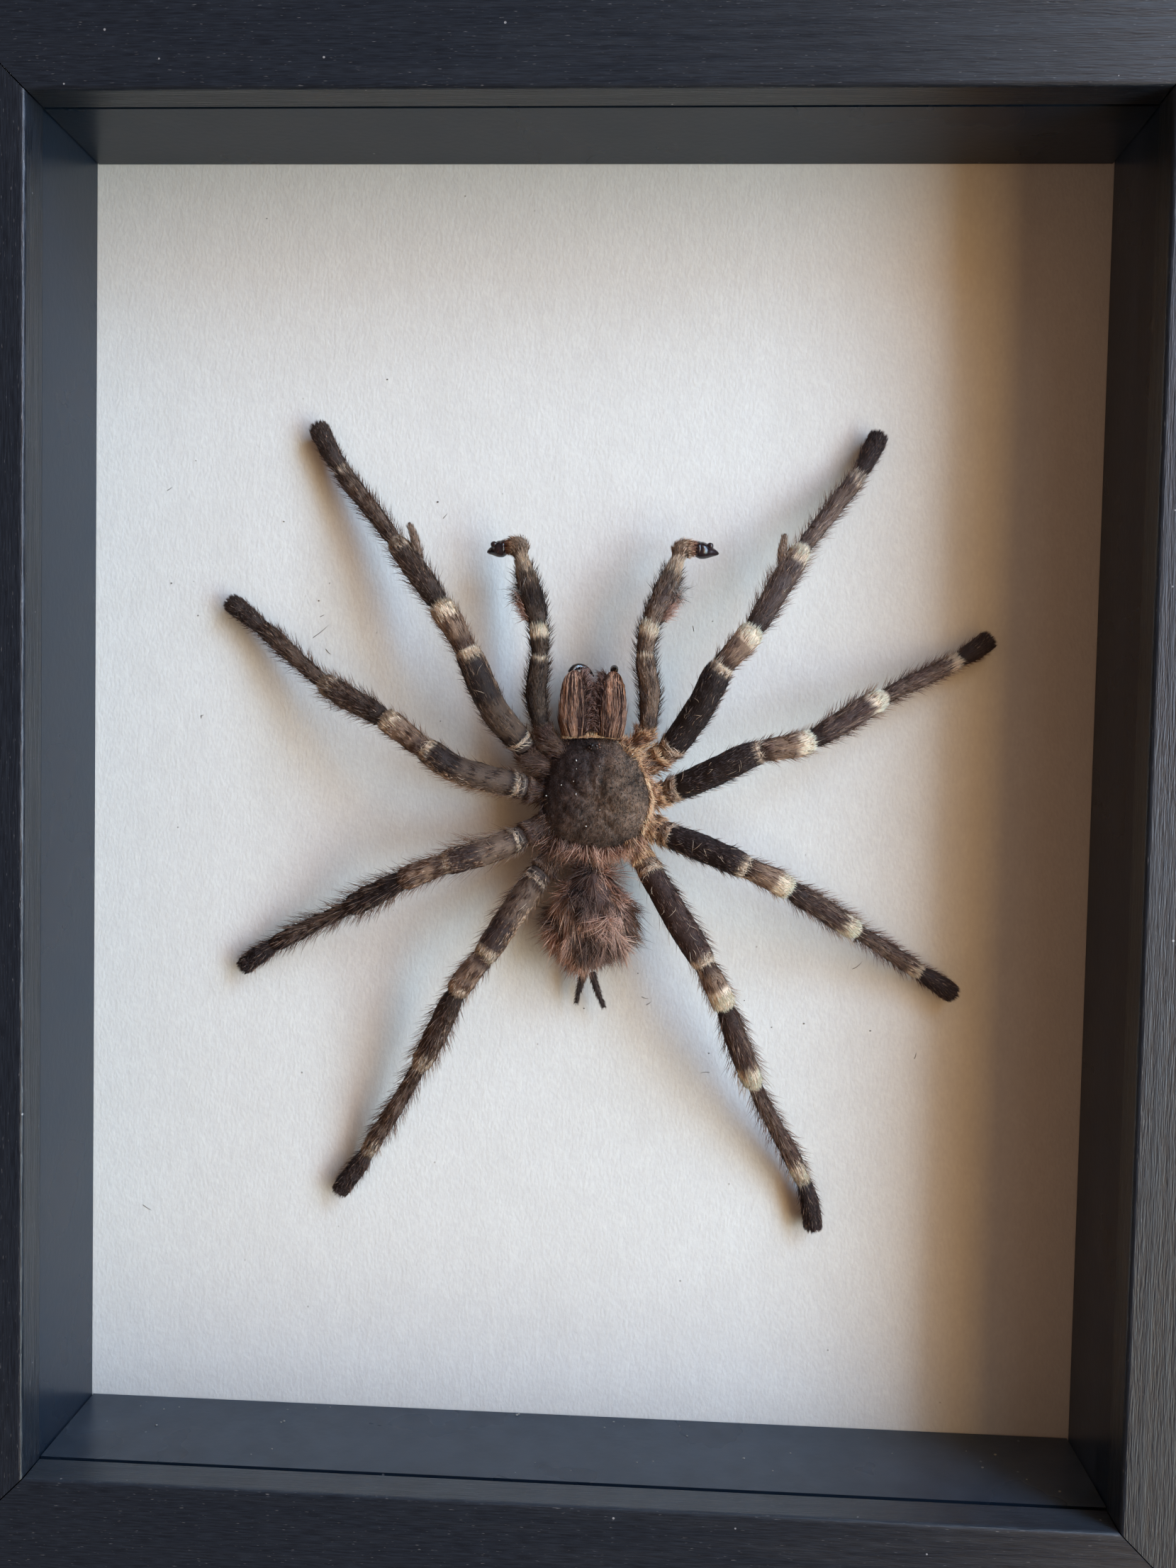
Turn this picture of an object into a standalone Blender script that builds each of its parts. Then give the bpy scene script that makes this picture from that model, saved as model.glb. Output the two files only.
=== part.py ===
"""A dried tarantula spread on a card behind glass, in a black shadow-box frame.

The frame stands upright on its lower edge, with +Z up and its front to -Y.
Left and right are those of someone looking at the front. Units are metres.
Run with: blender --background --python part.py
"""

import math

import bmesh
import bpy
from mathutils import Matrix, Vector

MM = 0.001

# ---- Frame: driving dimensions -------------------------------------------------------------
LIP_OPENING_WIDTH = 194.7 * MM      # clear width between the side lips
LIP_OPENING_HEIGHT = 245.8 * MM
RAIL_FACE_WIDTH = 20.0 * MM         # front face, from the opening outwards
RAIL_DEPTH = 45.0 * MM              # front to back
LIP_THICKNESS = 7.1 * MM
RABBET_WIDTH = 4.85 * MM            # how far the lip laps over the glass
ARRIS_RADIUS = 0.8 * MM             # rounding of the long front edges
BACK_ARRIS_RADIUS = 0.5 * MM
ARRIS_STEPS = 3
RAIL_END_WASTE = 1.0 * MM           # cut off again by the mitres
GAP = 0.3 * MM                      # between pieces that touch

# ---- Glass, card and back ------------------------------------------------------------------
GLASS_THICKNESS = 2.0 * MM
CARD_TO_GLASS = 24.4 * MM           # depth of the box in front of the card
CARD_THICKNESS = 1.5 * MM
CARD_VIEW_WIDTH = 196.5 * MM        # card that shows between the spacer strips
CARD_VIEW_HEIGHT = 246.9 * MM
PANEL_THICKNESS = 3.0 * MM

# ---- Back hardware -------------------------------------------------------------------------
TAB_WIDTH = 6.0 * MM
TAB_REACH = 9.0 * MM                # how far a tab laps over the panel
TAB_THICKNESS = 0.5 * MM
TAB_FOOT_HEIGHT = 2.5 * MM          # the bent part against the rabbet wall
TAB_PLACES = (-0.28, 0.28)          # along a rail, as a share of the opening
HANGER_LENGTH = 44.0 * MM
HANGER_WIDTH = 9.0 * MM
HANGER_THICKNESS = 0.9 * MM
HANGER_TOOTHED_LENGTH = 31.0 * MM
HANGER_TEETH = 9
HANGER_TOOTH_DEPTH = 1.6 * MM
HANGER_DROP = 16.0 * MM             # below the top of the panel
NAIL_RADIUS = 2.0 * MM
NAIL_CROWN_SHARE = 0.7              # radius of the head's crown over that of its foot
NAIL_HEAD_THICKNESS = 0.9 * MM
NAIL_SPACING = 37.0 * MM

# ---- Derived frame sizes -------------------------------------------------------------------
OUTER_HEIGHT = LIP_OPENING_HEIGHT + 2 * RAIL_FACE_WIDTH
RABBET_OPENING_WIDTH = LIP_OPENING_WIDTH + 2 * RABBET_WIDTH
RABBET_OPENING_HEIGHT = LIP_OPENING_HEIGHT + 2 * RABBET_WIDTH
CENTRE_Z = OUTER_HEIGHT / 2
FRONT_Y = -RAIL_DEPTH / 2
GLASS_FRONT_Y = FRONT_Y + LIP_THICKNESS + GAP
GLASS_BACK_Y = GLASS_FRONT_Y + GLASS_THICKNESS
CARD_FRONT_Y = GLASS_BACK_Y + CARD_TO_GLASS
PANEL_FRONT_Y = CARD_FRONT_Y + CARD_THICKNESS + GAP
PANEL_BACK_Y = PANEL_FRONT_Y + PANEL_THICKNESS

# ---- Specimen ------------------------------------------------------------------------------
# Points are (across, up, height above the card) in millimetres, from the card's centre.
# A leg runs: hip, femur base, mid femur, knee, patella end, tibia end, metatarsus end, tip.
LEG_POINTS = {
    "leg_1_left": [(-10.9, 10.3, 8.0), (-12.3, 12.3, 8.7), (-16.7, 17.9, 12.2), (-21.2, 27.9, 15.0),
                   (-26.7, 36.9, 14.3), (-36.1, 49.0, 8.8), (-48.1, 63.6, 3.9), (-53.4, 72.5, 2.6)],
    "leg_2_left": [(-10.8, 3.1, 8.0), (-13.0, 3.6, 8.9), (-22.3, 6.0, 13.0), (-28.8, 9.9, 15.0),
                   (-36.8, 15.5, 14.0), (-49.8, 22.3, 8.8), (-63.0, 32.6, 3.8), (-70.5, 38.1, 2.6)],
    "leg_3_left": [(-10.8, -6.0, 8.0), (-12.9, -7.2, 8.7), (-18.5, -9.4, 11.8), (-24.6, -11.2, 14.0),
                   (-33.1, -14.7, 13.0), (-44.3, -20.8, 7.9), (-60.0, -29.1, 3.6), (-67.2, -34.3, 2.6)],
    "leg_4_left": [(-7.4, -12.9, 8.0), (-8.8, -14.9, 8.7), (-12.7, -21.1, 12.0), (-17.0, -28.0, 14.5),
                   (-22.4, -35.5, 14.0), (-30.2, -51.2, 8.8), (-41.2, -69.9, 3.6), (-47.3, -78.9, 2.6)],
    "leg_1_right": [(15.5, 10.2, 8.0), (17.3, 11.6, 8.7), (21.8, 18.4, 12.2), (25.6, 26.0, 15.0),
                    (31.3, 33.2, 14.3), (40.6, 48.8, 8.8), (51.1, 63.5, 3.9), (55.4, 71.8, 2.6)],
    "leg_2_right": [(16.2, 2.9, 8.0), (18.4, 3.7, 8.9), (25.3, 7.0, 13.0), (32.6, 10.7, 15.0),
                    (42.4, 13.2, 14.0), (56.2, 21.4, 8.8), (70.9, 28.8, 3.8), (77.5, 33.2, 2.6)],
    "leg_3_right": [(15.2, -4.6, 8.0), (17.2, -5.6, 8.7), (23.7, -7.7, 12.0), (30.7, -10.4, 14.5),
                    (39.1, -14.4, 13.5), (52.5, -22.6, 8.3), (65.3, -30.8, 3.8), (72.8, -35.6, 2.6)],
    "leg_4_right": [(12.2, -10.6, 8.0), (13.5, -12.6, 8.7), (18.3, -20.2, 12.0), (23.5, -28.3, 14.5),
                    (27.9, -36.7, 14.0), (34.1, -52.7, 8.8), (44.3, -72.4, 3.8), (47.0, -82.7, 2.6)],
}

# Radius along a leg: (place in LEG_POINTS, radius in mm). The form reaches the short hair's tips.
LEG_PROFILE = [(0.05, 2.5), (0.55, 2.75), (1.0, 2.85), (1.6, 3.0), (2.3, 3.0), (2.8, 2.8), (3.0, 2.45),
               (3.15, 2.45), (3.5, 2.5), (3.9, 2.45), (4.0, 2.2), (4.1, 2.3), (4.4, 2.5), (4.8, 2.4),
               (5.0, 2.0), (5.1, 1.95), (5.5, 2.1), (5.9, 2.05), (6.0, 1.85), (6.1, 1.95), (6.4, 2.15),
               (6.8, 2.1), (6.95, 1.7), (7.0, 0.9)]
LEG_GIRTH = {"1": 1.0, "2": 0.96, "3": 0.94, "4": 0.96}
HOOKS = {                           # the mating spur on the inner side of each first tibia
    "leg_1_left": [(-31.8, 44.2, 10.4), (-32.3, 49.0, 10.2), (-33.8, 52.9, 9.2)],
    "leg_1_right": [(37.4, 43.9, 10.4), (36.8, 48.2, 10.2), (37.3, 51.7, 9.2)],
}
HOOK_RADII = (1.5, 1.15, 0.45)

# A palp runs: base, femur base, mid femur, knee, patella end, mid tibia, tibia end, tarsus, bulb.
PALP_POINTS = {
    "palp_left": [(-7.6, 14.9, 9.3), (-8.1, 16.0, 9.6), (-8.8, 20.7, 11.0), (-8.2, 27.4, 12.0),
                  (-8.4, 33.5, 12.3), (-10.1, 39.4, 11.0), (-12.2, 46.3, 9.0), (-13.0, 48.9, 8.5),
                  (-15.2, 48.7, 8.0), (-17.6, 48.7, 7.5), (-19.0, 48.1, 7.2)],
    "palp_right": [(12.0, 15.0, 9.3), (12.4, 16.2, 9.6), (12.6, 21.8, 11.0), (11.6, 28.3, 12.0),
                   (12.5, 34.2, 12.3), (14.9, 39.8, 11.0), (17.2, 46.4, 9.0), (18.1, 48.6, 8.5),
                   (20.4, 48.9, 8.0), (22.9, 48.4, 7.5), (25.0, 48.4, 7.2)],
}
PALP_PROFILE = [(0.0, 1.9), (1.0, 2.2), (1.7, 2.5), (2.5, 2.5), (2.9, 2.3), (3.0, 2.0), (3.15, 2.0),
                (3.6, 2.15), (3.95, 2.1), (4.1, 2.3), (4.6, 2.9), (5.2, 2.9), (5.8, 2.0), (6.0, 1.6),
                (6.5, 1.7), (7.0, 1.7), (7.4, 1.5), (8.0, 1.2), (8.3, 1.0), (8.6, 1.25), (9.0, 1.2),
                (9.5, 0.7), (10.0, 0.2)]

# Cephalothorax, from the body's centre.
BODY_X = 2.4                        # mm across from the card's centre
CARAPACE_CENTRE_Z = 2.3
CARAPACE_HALF_WIDTH = 10.4
CARAPACE_HALF_LENGTH = 10.5
CARAPACE_RIM_HEIGHT = 8.6           # above the card
CARAPACE_DOME = 4.0                 # rise of the carapace over its rim
BODY_KEEL = 6.3                     # depth of the underside below the rim
HEAD_TAPER = 0.30                   # how much narrower the head end is
BODY_SQUARENESS = 2.6               # 2 is an oval outline, more is a squarer one
FOVEA_PLACE = (0.0, -0.22)          # dimple of the carapace, in shares of its half sizes
FOVEA_SIZE = 0.22
FOVEA_DEPTH = 0.9
EYE_MOUND = (2.4, 11.2, 11.1)
EYE_MOUND_RADIUS = 1.15
EYE_MOUND_LENGTH = 0.9              # half of it, from front to back
COXA_INNER_SHARE = 0.45             # where a leg's base starts, from the body's centre outwards
COXA_END_LENGTH = 2.0               # its last stretch, in line with the limb
COXA_RADII = (2.2, 2.75, 2.5)
PALP_COXA_RADII = (1.8, 2.0, 1.9)

ABDOMEN_CENTRE = (2.6, -20.9, 7.6)
ABDOMEN_HALF_WIDTH = 8.6
ABDOMEN_HALF_LENGTH = 11.4
ABDOMEN_HALF_DEPTH = 6.2
ABDOMEN_NARROWING = 0.30            # how much narrower the front end is

CHELICERA_POINTS = {
    "chelicera_left": [(-1.5, 13.4, 8.9), (-1.6, 15.0, 9.2), (-1.7, 18.5, 9.4), (-1.8, 22.5, 8.8),
                       (-1.8, 24.8, 7.7), (-1.8, 25.7, 7.1)],
    "chelicera_right": [(5.2, 13.4, 8.9), (5.3, 15.0, 9.2), (5.4, 18.5, 9.4), (5.5, 22.5, 8.8),
                        (5.6, 25.1, 7.7), (5.6, 26.0, 7.1)],
}
CHELICERA_RADII = (2.9, 3.15, 3.15, 2.8, 1.9, 1.2)
FANG_POINTS = {
    "fang_left": [(-2.0, 26.1, 6.8), (-1.5, 26.8, 6.3), (-0.5, 27.0, 5.8), (0.7, 26.4, 5.2),
                  (1.7, 25.1, 4.5)],
    "fang_right": [(5.6, 26.4, 6.8), (5.6, 26.8, 5.9), (5.5, 26.6, 4.6), (5.3, 25.6, 3.2),
                   (5.1, 24.0, 2.2)],
}
FANG_RADII = (0.85, 0.95, 0.8, 0.5, 0.12)
SPINNERET_POINTS = {
    "spinneret_left": [(1.0, -32.9, 5.4), (0.4, -35.0, 4.6), (-0.5, -39.2, 3.4)],
    "spinneret_right": [(2.6, -32.9, 5.4), (3.5, -36.2, 4.6), (4.9, -39.9, 3.4)],
}
SPINNERET_RADII = (0.75, 0.62, 0.3)

COLLECTION_NAME = "framed_tarantula_specimen"
CUTTER_COLLECTION_NAME = "cutters"


def clear_scene():
    """Remove every object that is in the open file."""
    for obj in list(bpy.data.objects):
        bpy.data.objects.remove(obj, do_unlink=True)


def new_collection(name):
    """Return a new collection that is linked to the scene."""
    collection = bpy.data.collections.new(name)
    bpy.context.scene.collection.children.link(collection)
    return collection


def new_material(name, colour, roughness, metallic=0.0, transmission=0.0, alpha=1.0):
    """Return a Principled material of the given finish."""
    material = bpy.data.materials.new(name)
    material.use_nodes = True
    material.diffuse_color = (*colour, alpha)
    shader = material.node_tree.nodes["Principled BSDF"]
    shader.inputs["Base Color"].default_value = (*colour, 1.0)
    shader.inputs["Roughness"].default_value = roughness
    shader.inputs["Metallic"].default_value = metallic
    shader.inputs["Transmission Weight"].default_value = transmission
    return material


def add_mesh_object(name, mesh, collection, material):
    """Link a new object of this mesh, with its material."""
    mesh.materials.clear()
    mesh.materials.append(material)
    obj = bpy.data.objects.new(name, mesh)
    collection.objects.link(obj)
    return obj


def mesh_of(obj):
    """Return the evaluated mesh of an object, its caps welded, in world coordinates."""
    bpy.context.view_layer.update()
    graph = bpy.context.evaluated_depsgraph_get()
    mesh = bpy.data.meshes.new_from_object(obj.evaluated_get(graph))
    mesh.transform(obj.matrix_world)
    work = bmesh.new()
    work.from_mesh(mesh)
    bmesh.ops.remove_doubles(work, verts=work.verts, dist=0.00001)
    bmesh.ops.recalc_face_normals(work, faces=work.faces)
    work.to_mesh(mesh)
    work.free()
    return mesh


def add_box(name, size, centre, collection, material):
    """Add a box of this size about its centre."""
    mesh = bpy.data.meshes.new(name)
    work = bmesh.new()
    bmesh.ops.create_cube(work, size=1.0)
    bmesh.ops.scale(work, vec=size, verts=work.verts)
    work.to_mesh(mesh)
    work.free()
    obj = add_mesh_object(name, mesh, collection, material)
    obj.location = centre
    return obj


def extruded_outline(name, outline, half_thickness, placing):
    """Return the mesh of a flat outline, extruded both ways and moved by a matrix."""
    curve = bpy.data.curves.new(name, "CURVE")
    curve.dimensions = "2D"
    curve.fill_mode = "BOTH"
    curve.extrude = half_thickness
    spline = curve.splines.new("POLY")
    spline.points.add(len(outline) - 1)
    for point, (u, v) in zip(spline.points, outline):
        point.co = (u, v, 0.0, 1.0)
    spline.use_cyclic_u = True
    drawing = bpy.data.objects.new(name + "_outline", curve)
    bpy.context.scene.collection.objects.link(drawing)
    mesh = mesh_of(drawing)
    bpy.data.objects.remove(drawing, do_unlink=True)
    mesh.transform(placing)
    return mesh


def arc_points(centre_u, centre_v, radius, start_angle, end_angle):
    """Return the points of an arc in an outline, its two ends included."""
    points = []
    for step in range(ARRIS_STEPS + 1):
        angle = math.radians(start_angle + (end_angle - start_angle) * step / ARRIS_STEPS)
        points.append((centre_u + radius * math.cos(angle), centre_v + radius * math.sin(angle)))
    return points


def rail_outline():
    """Return a rail's section: u outwards from the opening, v back from the front face."""
    front = ARRIS_RADIUS
    back = BACK_ARRIS_RADIUS
    outline = arc_points(front, front, front, 180.0, 270.0)
    outline += arc_points(RAIL_FACE_WIDTH - front, front, front, 270.0, 360.0)
    outline += arc_points(RAIL_FACE_WIDTH - back, RAIL_DEPTH - back, back, 0.0, 90.0)
    outline.append((RABBET_WIDTH, RAIL_DEPTH))
    outline.append((RABBET_WIDTH, LIP_THICKNESS))
    outline.append((0.0, LIP_THICKNESS))
    return outline


def add_rail(name, opening_length, opening_across, turn, collection, material):
    """Add one rail with mitred ends.

    The section is extruded along the rail, and its ends are cut at 45 degrees. The rail is
    made as the bottom one and turned about the frame's centre.
    """
    # Here u points down from the opening, v points back and the extrusion runs along X.
    lay_down = Matrix(((0, 0, 1, 0), (0, 1, 0, FRONT_Y), (-1, 0, 0, -opening_across / 2), (0, 0, 0, 1)))
    half_length = opening_length / 2 + RAIL_FACE_WIDTH + RAIL_END_WASTE
    mesh = extruded_outline(name, rail_outline(), half_length, lay_down)
    work = bmesh.new()
    work.from_mesh(mesh)
    for side in (-1, 1):
        corner = Vector((side * (opening_length / 2 - GAP / 2), 0.0, -opening_across / 2))
        direction = Vector((side, 0.0, 1.0)).normalized()
        geometry = work.verts[:] + work.edges[:] + work.faces[:]
        cut = bmesh.ops.bisect_plane(work, geom=geometry, plane_co=corner, plane_no=direction,
                                     clear_outer=True)
        edges = [item for item in cut["geom_cut"] if isinstance(item, bmesh.types.BMEdge)]
        bmesh.ops.contextual_create(work, geom=edges)
    bmesh.ops.recalc_face_normals(work, faces=work.faces)
    work.to_mesh(mesh)
    work.free()
    rail = add_mesh_object(name, mesh, collection, material)
    rail.rotation_euler = (0.0, math.radians(turn), 0.0)
    rail.location = (0.0, 0.0, CENTRE_Z)
    return rail


def add_frame(collection, materials):
    """Add the four rails of the frame."""
    across = LIP_OPENING_HEIGHT
    along = LIP_OPENING_WIDTH
    wood = materials["frame"]
    add_rail("rail_bottom", along, across, 0.0, collection, wood)
    add_rail("rail_top", along, across, 180.0, collection, wood)
    add_rail("rail_left", across, along, 90.0, collection, wood)
    add_rail("rail_right", across, along, -90.0, collection, wood)


def add_glazing(collection, materials):
    """Add the glass, the four spacer strips, the card and the back panel."""
    pane_width = RABBET_OPENING_WIDTH - 2 * GAP
    pane_height = RABBET_OPENING_HEIGHT - 2 * GAP
    flats = (
        ("glass_pane", GLASS_FRONT_Y, GLASS_THICKNESS, "glass"),
        ("backing_card", CARD_FRONT_Y, CARD_THICKNESS, "card"),
        ("back_panel", PANEL_FRONT_Y, PANEL_THICKNESS, "panel"),
    )
    for name, front, thickness, finish in flats:
        add_box(name, (pane_width, thickness, pane_height), (0.0, front + thickness / 2, CENTRE_Z),
                collection, materials[finish])

    spacer_front = GLASS_BACK_Y + GAP
    spacer_depth = CARD_FRONT_Y - GAP - spacer_front
    spacer_y = spacer_front + spacer_depth / 2
    side_thickness = (pane_width - CARD_VIEW_WIDTH) / 2
    end_thickness = (pane_height - CARD_VIEW_HEIGHT) / 2
    side_x = (CARD_VIEW_WIDTH + side_thickness) / 2
    end_z = (CARD_VIEW_HEIGHT + end_thickness) / 2
    end_length = CARD_VIEW_WIDTH - 2 * GAP
    for name, side in (("spacer_left", -1), ("spacer_right", 1)):
        add_box(name, (side_thickness, spacer_depth, pane_height),
                (side * side_x, spacer_y, CENTRE_Z), collection, materials["spacer"])
    for name, side in (("spacer_bottom", -1), ("spacer_top", 1)):
        add_box(name, (end_length, spacer_depth, end_thickness),
                (0.0, spacer_y, CENTRE_Z + side * end_z), collection, materials["spacer"])


def add_retaining_tab(number, place, wall, turn, collection, material):
    """Add one bent steel point: a foot against the rabbet wall and a tongue over the panel."""
    outline = [
        (0.0, 0.0),
        (TAB_REACH, 0.0),
        (TAB_REACH, TAB_THICKNESS),
        (TAB_THICKNESS, TAB_THICKNESS),
        (TAB_THICKNESS, TAB_FOOT_HEIGHT),
        (0.0, TAB_FOOT_HEIGHT),
    ]
    name = "retaining_tab_%d" % number
    # Made as the lowest one: u points up from the rabbet wall, v points back.
    foot_y = PANEL_BACK_Y + GAP
    lay_down = Matrix(((0, 0, -1, place), (0, 1, 0, foot_y), (1, 0, 0, GAP - wall), (0, 0, 0, 1)))
    mesh = extruded_outline(name, outline, TAB_WIDTH / 2, lay_down)
    tab = add_mesh_object(name, mesh, collection, material)
    tab.rotation_euler = (0.0, math.radians(turn), 0.0)
    tab.location = (0.0, 0.0, CENTRE_Z)


def hanger_outline():
    """Return the hanger's outline: a strip with cut corners and teeth along its lower edge."""
    half_length = HANGER_LENGTH / 2
    half_width = HANGER_WIDTH / 2
    corner = half_width / 2
    outline = [(-half_length, -corner), (-half_length, corner)]
    outline += [(-half_length + corner, half_width), (half_length - corner, half_width)]
    outline += [(half_length, corner), (half_length, -corner)]
    outline.append((half_length - corner, -half_width))
    tooth = HANGER_TOOTHED_LENGTH / HANGER_TEETH
    for step in range(HANGER_TEETH):
        right = HANGER_TOOTHED_LENGTH / 2 - step * tooth
        outline.append((right, -half_width))
        outline.append((right - tooth / 2, -half_width + HANGER_TOOTH_DEPTH))
    outline.append((-HANGER_TOOTHED_LENGTH / 2, -half_width))
    outline.append((-half_length + corner, -half_width))
    return outline


def add_hanger(collection, materials):
    """Add the sawtooth hanger and its two nails, on the back panel."""
    stand_up = Matrix(((1, 0, 0, 0), (0, 0, -1, 0), (0, 1, 0, 0), (0, 0, 0, 1)))
    mesh = extruded_outline("hanger", hanger_outline(), HANGER_THICKNESS / 2, stand_up)
    hanger = add_mesh_object("hanger", mesh, collection, materials["zinc"])
    hanger_z = CENTRE_Z + RABBET_OPENING_HEIGHT / 2 - HANGER_DROP
    hanger_back_y = PANEL_BACK_Y + GAP + HANGER_THICKNESS
    hanger.location = (0.0, hanger_back_y - HANGER_THICKNESS / 2, hanger_z)

    for name, side in (("hanger_nail_left", -1), ("hanger_nail_right", 1)):
        mesh = bpy.data.meshes.new(name)
        work = bmesh.new()
        bmesh.ops.create_cone(work, cap_ends=True, segments=16, radius1=NAIL_RADIUS,
                              radius2=NAIL_RADIUS * NAIL_CROWN_SHARE, depth=NAIL_HEAD_THICKNESS)
        work.to_mesh(mesh)
        work.free()
        nail = add_mesh_object(name, mesh, collection, materials["zinc"])
        nail.rotation_euler = (math.radians(-90.0), 0.0, 0.0)
        nail.location = (side * NAIL_SPACING / 2, hanger_back_y + GAP + NAIL_HEAD_THICKNESS / 2, hanger_z)


def add_back_hardware(collection, materials):
    """Add the retaining tabs and the hanger."""
    number = 1
    sides = (
        (0.0, RABBET_OPENING_WIDTH, RABBET_OPENING_HEIGHT / 2),
        (90.0, RABBET_OPENING_HEIGHT, RABBET_OPENING_WIDTH / 2),
        (180.0, RABBET_OPENING_WIDTH, RABBET_OPENING_HEIGHT / 2),
        (270.0, RABBET_OPENING_HEIGHT, RABBET_OPENING_WIDTH / 2),
    )
    for turn, length, wall in sides:
        for share in TAB_PLACES:
            add_retaining_tab(number, share * length, wall, turn, collection, materials["zinc"])
            number += 1
    add_hanger(collection, materials)


def place_on_card(point):
    """Return the world place of (across, up, height above the card) in millimetres."""
    across, up, height = point
    return Vector((across * MM, CARD_FRONT_Y - height * MM, CENTRE_Z + up * MM))


def smooth_point(points, place):
    """Return the point at this place on a Catmull-Rom curve through the points."""
    last = len(points) - 1
    index = min(int(place), last - 1)
    t = place - index
    before = points[max(index - 1, 0)]
    start = points[index]
    end = points[index + 1]
    after = points[min(index + 2, last)]
    return 0.5 * (2 * start + (end - before) * t + (2 * before - 5 * start + 4 * end - after) * t ** 2
                  + (3 * start - before - 3 * end + after) * t ** 3)


def tube_mesh(name, points, radii, resolution=2):
    """Return the mesh of a closed tube along the points, with a radius at each."""
    curve = bpy.data.curves.new(name, "CURVE")
    curve.dimensions = "3D"
    curve.twist_mode = "MINIMUM"
    curve.bevel_depth = 1.0
    curve.bevel_resolution = resolution
    curve.use_fill_caps = True
    spline = curve.splines.new("POLY")
    spline.points.add(len(points) - 1)
    for item, point, radius in zip(spline.points, points, radii):
        item.co = (*point, 1.0)
        item.radius = radius * MM
    drawing = bpy.data.objects.new(name + "_route", curve)
    bpy.context.scene.collection.objects.link(drawing)
    mesh = mesh_of(drawing)
    bpy.data.objects.remove(drawing, do_unlink=True)
    return mesh


def add_tapered_tube(name, points, radii, collection, material, resolution=2):
    """Add a closed tube along points on the card, with a radius in millimetres at each."""
    route = [place_on_card(point) for point in points]
    mesh = tube_mesh(name, route, radii, resolution)
    return add_mesh_object(name, mesh, collection, material)


def join_with(obj, mesh, cutters):
    """Join another closed mesh to an object with a Boolean union."""
    tool = bpy.data.objects.new(obj.name + "_addition", mesh)
    cutters.objects.link(tool)
    tool.hide_render = True
    tool.display_type = "WIRE"
    union = obj.modifiers.new("union_" + str(len(obj.modifiers)), "BOOLEAN")
    union.operation = "UNION"
    union.solver = "EXACT"
    union.object = tool
    return tool


def add_legs(collection, cutters, material):
    """Add the eight legs, and the mating hook on the tibia of each first leg."""
    for name, points in LEG_POINTS.items():
        route = [place_on_card(point) for point in points]
        girth = LEG_GIRTH[name.split("_")[1]]
        places = [smooth_point(route, place) for place, _ in LEG_PROFILE]
        radii = [radius * girth for _, radius in LEG_PROFILE]
        leg = add_mesh_object(name, tube_mesh(name, places, radii), collection, material)
        if name in HOOKS:
            hook = [place_on_card(point) for point in HOOKS[name]]
            join_with(leg, tube_mesh(name + "_hook", hook, HOOK_RADII, 1), cutters)


def add_palps(collection, material):
    """Add the two palps, each with its bulb."""
    for name, points in PALP_POINTS.items():
        route = [place_on_card(point) for point in points]
        places = [smooth_point(route, place) for place, _ in PALP_PROFILE]
        radii = [radius for _, radius in PALP_PROFILE]
        add_mesh_object(name, tube_mesh(name, places, radii), collection, material)


def ball_mesh(name, segments, rings, shape):
    """Return the mesh of a ball whose unit points are moved by a shape function."""
    mesh = bpy.data.meshes.new(name)
    work = bmesh.new()
    bmesh.ops.create_uvsphere(work, u_segments=segments, v_segments=rings, radius=1.0)
    for vert in work.verts:
        vert.co = shape(vert.co)
    bmesh.ops.recalc_face_normals(work, faces=work.faces)
    work.to_mesh(mesh)
    work.free()
    return mesh


def carapace_shape(unit):
    """Return the body's place for a point of the unit ball, whose pole stands off the card."""
    flat = math.hypot(unit.x, unit.y)
    square = 1.0
    if flat > 0.0:
        power = BODY_SQUARENESS
        square = (abs(unit.x / flat) ** power + abs(unit.y / flat) ** power) ** (-1.0 / power)
    length = CARAPACE_HALF_LENGTH * square * unit.y
    taper = 1.0 - HEAD_TAPER * max(unit.y, 0.0) ** 2
    across = CARAPACE_HALF_WIDTH * square * taper * unit.x
    rise = CARAPACE_DOME if unit.z > 0.0 else BODY_KEEL
    height = CARAPACE_RIM_HEIGHT + rise * unit.z
    if unit.z > 0.0:
        away = math.hypot(unit.x - FOVEA_PLACE[0], unit.y - FOVEA_PLACE[1]) / FOVEA_SIZE
        height -= FOVEA_DEPTH * math.exp(-away ** 2)
    return place_on_card((BODY_X + across, CARAPACE_CENTRE_Z + length, height))


def abdomen_shape(unit):
    """Return the abdomen's place for a point of the unit ball."""
    centre_x, centre_z, centre_height = ABDOMEN_CENTRE
    taper = 1.0 - ABDOMEN_NARROWING * max(unit.y, 0.0)
    across = ABDOMEN_HALF_WIDTH * taper * unit.x
    length = ABDOMEN_HALF_LENGTH * unit.y
    height = centre_height + ABDOMEN_HALF_DEPTH * unit.z
    return place_on_card((centre_x + across, centre_z + length, height))


def coxa_route(points):
    """Return three points from inside the body to just short of a limb's first point."""
    end = Vector(points[0])
    heading = (Vector(points[1]) - end).normalized()
    end = end - heading * (GAP / MM)
    centre = Vector((BODY_X, CARAPACE_CENTRE_Z, end.z))
    start = centre.lerp(end, COXA_INNER_SHARE)
    middle = end - heading * COXA_END_LENGTH
    return [start, middle, end]


def leg_start_heading(points):
    """Return the second point of a leg's tube, which sets the heading of its first face."""
    route = [Vector(point) for point in points]
    return smooth_point(route, LEG_PROFILE[1][0])


def eye_shape(unit):
    """Return the eye mound's place for a point of the unit ball."""
    across, up, height = EYE_MOUND
    return place_on_card((across + EYE_MOUND_RADIUS * unit.x, up + EYE_MOUND_LENGTH * unit.y,
                          height + EYE_MOUND_RADIUS * unit.z))


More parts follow.
